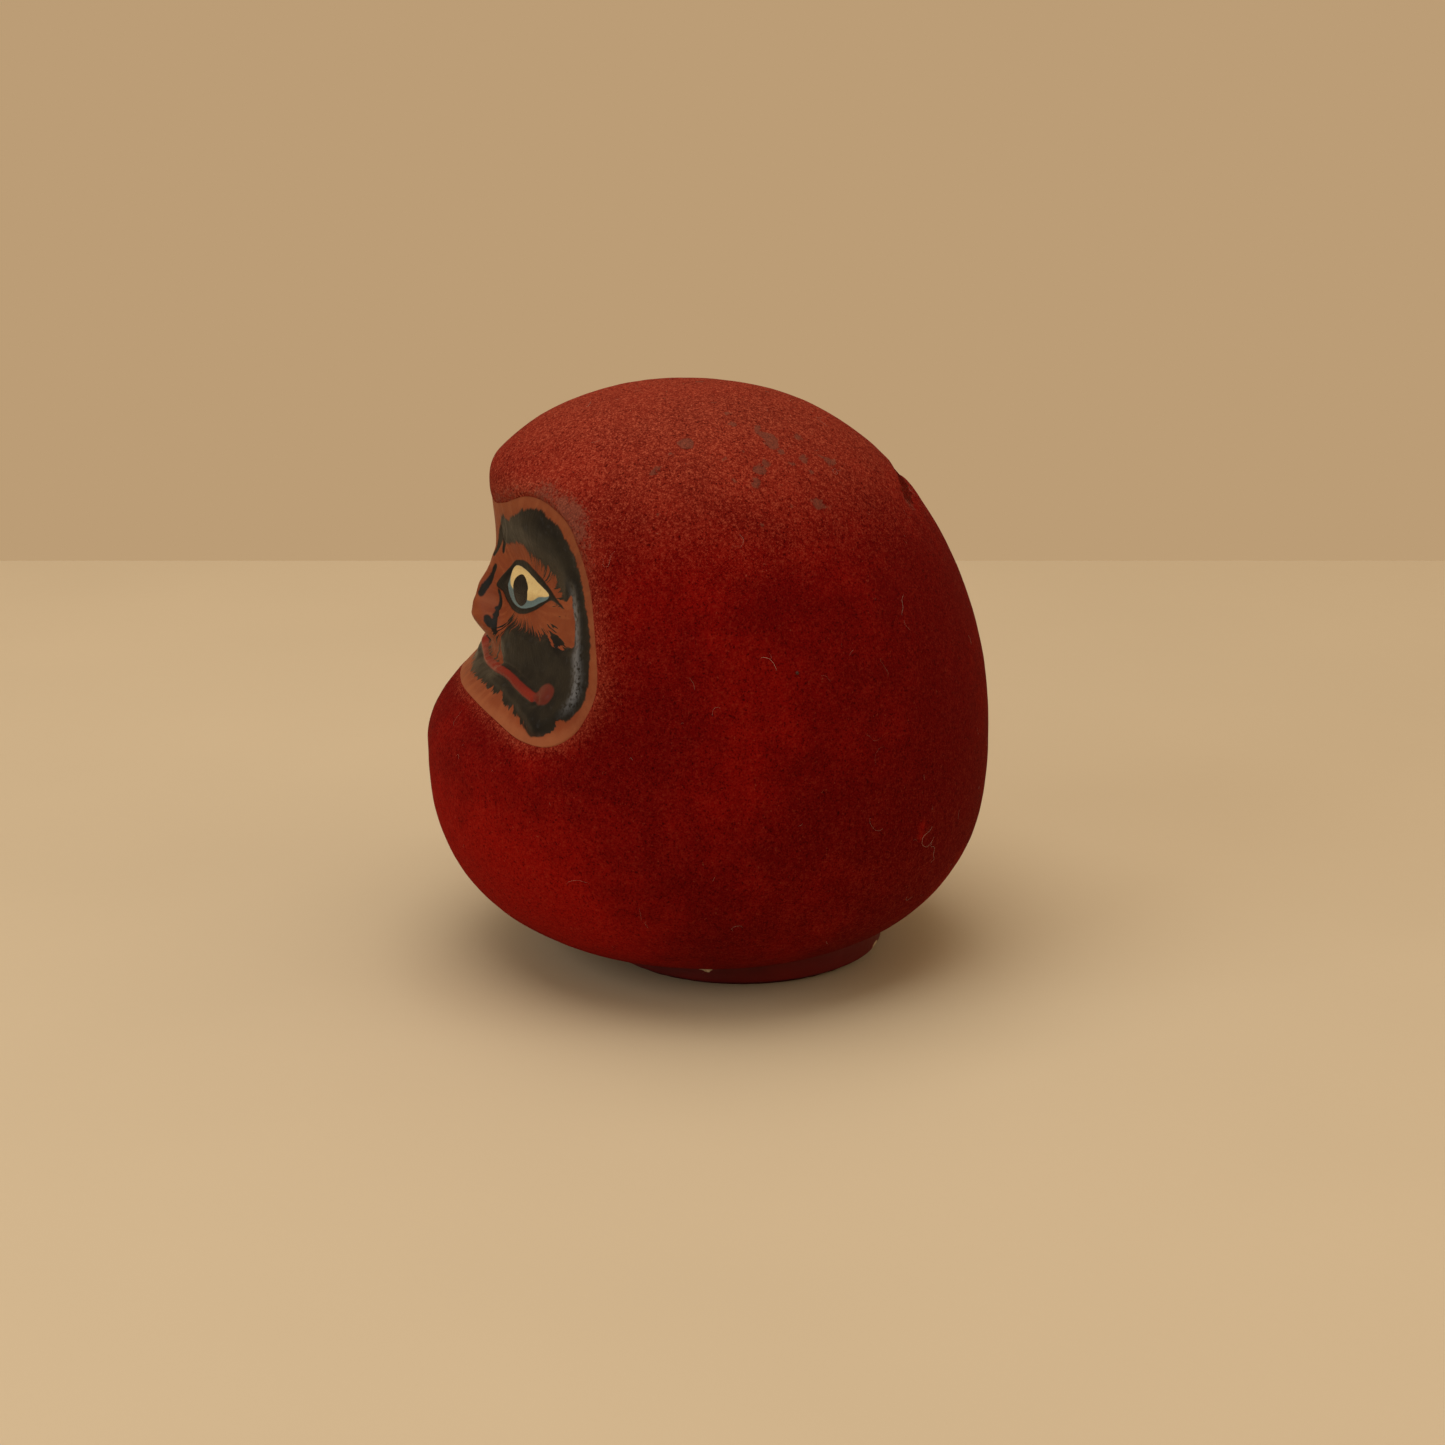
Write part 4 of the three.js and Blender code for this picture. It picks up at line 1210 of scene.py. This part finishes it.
def make_stage(settings):
    """A pale floor whose far edge is the horizon, a plain backdrop, three soft lights and the camera."""
    back = Vector((-math.cos(VIEW_TURN), math.sin(VIEW_TURN), 0))
    right = Vector((math.sin(VIEW_TURN), math.cos(VIEW_TURN), 0))
    lines = FLOOR_STEPS + 1
    points = [
        back * along + right * across
        for along in np.linspace(-FLOOR_AHEAD, FLOOR_BEHIND, lines)
        for across in np.linspace(-FLOOR_HALF, FLOOR_HALF, lines)
    ]
    corners = [lines * row + k for row in range(FLOOR_STEPS) for k in range(FLOOR_STEPS)]
    faces = [(at, at + 1, at + lines + 1, at + lines) for at in corners]
    mesh = bpy.data.meshes.new("floor")
    mesh.from_pydata([tuple(p) for p in points], [], faces)
    floor = bpy.data.objects.new("floor", mesh)
    bpy.context.scene.collection.objects.link(floor)
    mesh.materials.append(floor_finish(settings))
    world = bpy.data.worlds.new("backdrop")
    world.use_nodes = True
    sky = world.node_tree.nodes["Background"]
    sky.inputs["Color"].default_value = tuple(settings.backdrop) + (1.0,)
    sky.inputs["Strength"].default_value = BACKDROP_STRENGTH
    scene = bpy.context.scene
    scene.world = world
    toward_camera = -back
    up = Vector((0, 0, 1))
    front = toward_camera * 0.55 - right * 0.75 + up * 0.45
    side = right * 0.9 + toward_camera * 0.3 + up * 0.5
    area_light("top_softbox", (0.05, -0.10, 1.0), (0.9, 0.9), 7.0, (1.0, 0.97, 0.93))
    area_light("front_softbox", tuple(front), (0.6, 0.6), 3.4, (0.93, 0.97, 1.0))
    area_light("side_softbox", tuple(side), (0.6, 0.6), 1.2, (1.0, 0.93, 0.86))
    data = bpy.data.cameras.new("camera")
    data.lens = settings.lens
    data.sensor_width = 36.0
    data.clip_start, data.clip_end = 0.01, 20.0
    camera = bpy.data.objects.new("camera", data)
    lift = math.cos(VIEW_LIFT)
    view = Vector((math.cos(VIEW_TURN) * lift, -math.sin(VIEW_TURN) * lift, math.sin(VIEW_LIFT)))
    camera.location = VIEW_TARGET + view * VIEW_DISTANCE
    camera.rotation_euler = (-view).to_track_quat("-Z", "Y").to_euler()
    scene.collection.objects.link(camera)
    scene.camera = camera
    scene.view_settings.view_transform = "Standard"


# ---- add-on --------------------------------------------------------------------------------------


class DARUMA_OT_frame(bpy.types.Operator):
    """Finish the shell halves and the seam tape"""

    bl_idname = "daruma.frame"
    bl_label = "Shell and Tape"

    def execute(self, context):
        dress_frame()
        return {"FINISHED"}


class DARUMA_OT_coat(bpy.types.Operator):
    """Make the coat of flock, its standing fibres, and the lint and dust in it"""

    bl_idname = "daruma.coat"
    bl_label = "Flock"

    def execute(self, context):
        settings = context.scene.daruma_coat
        coat = make_coat(settings)
        make_nap(coat, settings)
        make_lint(coat)
        make_specks(coat)
        return {"FINISHED"}


class DARUMA_OT_face(bpy.types.Operator):
    """Make the painted relief face"""

    bl_idname = "daruma.face"
    bl_label = "Face"

    def execute(self, context):
        make_face(context.scene.daruma_face)
        return {"FINISHED"}


class DARUMA_OT_foot(bpy.types.Operator):
    """Make the clay foot, its paper ring and the rubber stopper"""

    bl_idname = "daruma.foot"
    bl_label = "Foot and Stopper"

    def execute(self, context):
        make_foot(context.scene.daruma_foot)
        make_paper()
        make_stopper(context.scene.daruma_foot)
        return {"FINISHED"}


class DARUMA_OT_stage(bpy.types.Operator):
    """Lay the floor and set up the backdrop, lights and camera"""

    bl_idname = "daruma.stage"
    bl_label = "Stage"

    def execute(self, context):
        make_stage(context.scene.daruma_stage)
        return {"FINISHED"}


OPERATORS = (DARUMA_OT_stage, DARUMA_OT_frame, DARUMA_OT_coat, DARUMA_OT_face, DARUMA_OT_foot)
SETTINGS = {
    "daruma_coat": DarumaCoatSettings,
    "daruma_face": DarumaFaceSettings,
    "daruma_foot": DarumaFootSettings,
    "daruma_stage": DarumaStageSettings,
}


class DARUMA_PT_panel(bpy.types.Panel):
    """Everything that makes the doll"""

    bl_idname = "DARUMA_PT_panel"
    bl_label = "Daruma"
    bl_space_type = "VIEW_3D"
    bl_region_type = "UI"
    bl_category = "Daruma"

    def draw(self, context):
        for name, group in SETTINGS.items():
            box = self.layout.box()
            for key in group.__annotations__:
                box.prop(getattr(context.scene, name), key)
        for operator in OPERATORS:
            self.layout.operator(operator.bl_idname)


def register():
    for group in SETTINGS.values():
        bpy.utils.register_class(group)
    for operator in OPERATORS:
        bpy.utils.register_class(operator)
    bpy.utils.register_class(DARUMA_PT_panel)
    for name, group in SETTINGS.items():
        setattr(bpy.types.Scene, name, PointerProperty(type=group))


def unregister():
    for name in SETTINGS:
        delattr(bpy.types.Scene, name)
    bpy.utils.unregister_class(DARUMA_PT_panel)
    for operator in reversed(OPERATORS):
        bpy.utils.unregister_class(operator)
    for group in reversed(SETTINGS.values()):
        bpy.utils.unregister_class(group)


def main():
    register()
    bpy.ops.daruma.stage()
    bpy.ops.daruma.frame()
    bpy.ops.daruma.coat()
    bpy.ops.daruma.face()
    bpy.ops.daruma.foot()


if __name__ == "__main__":
    main()
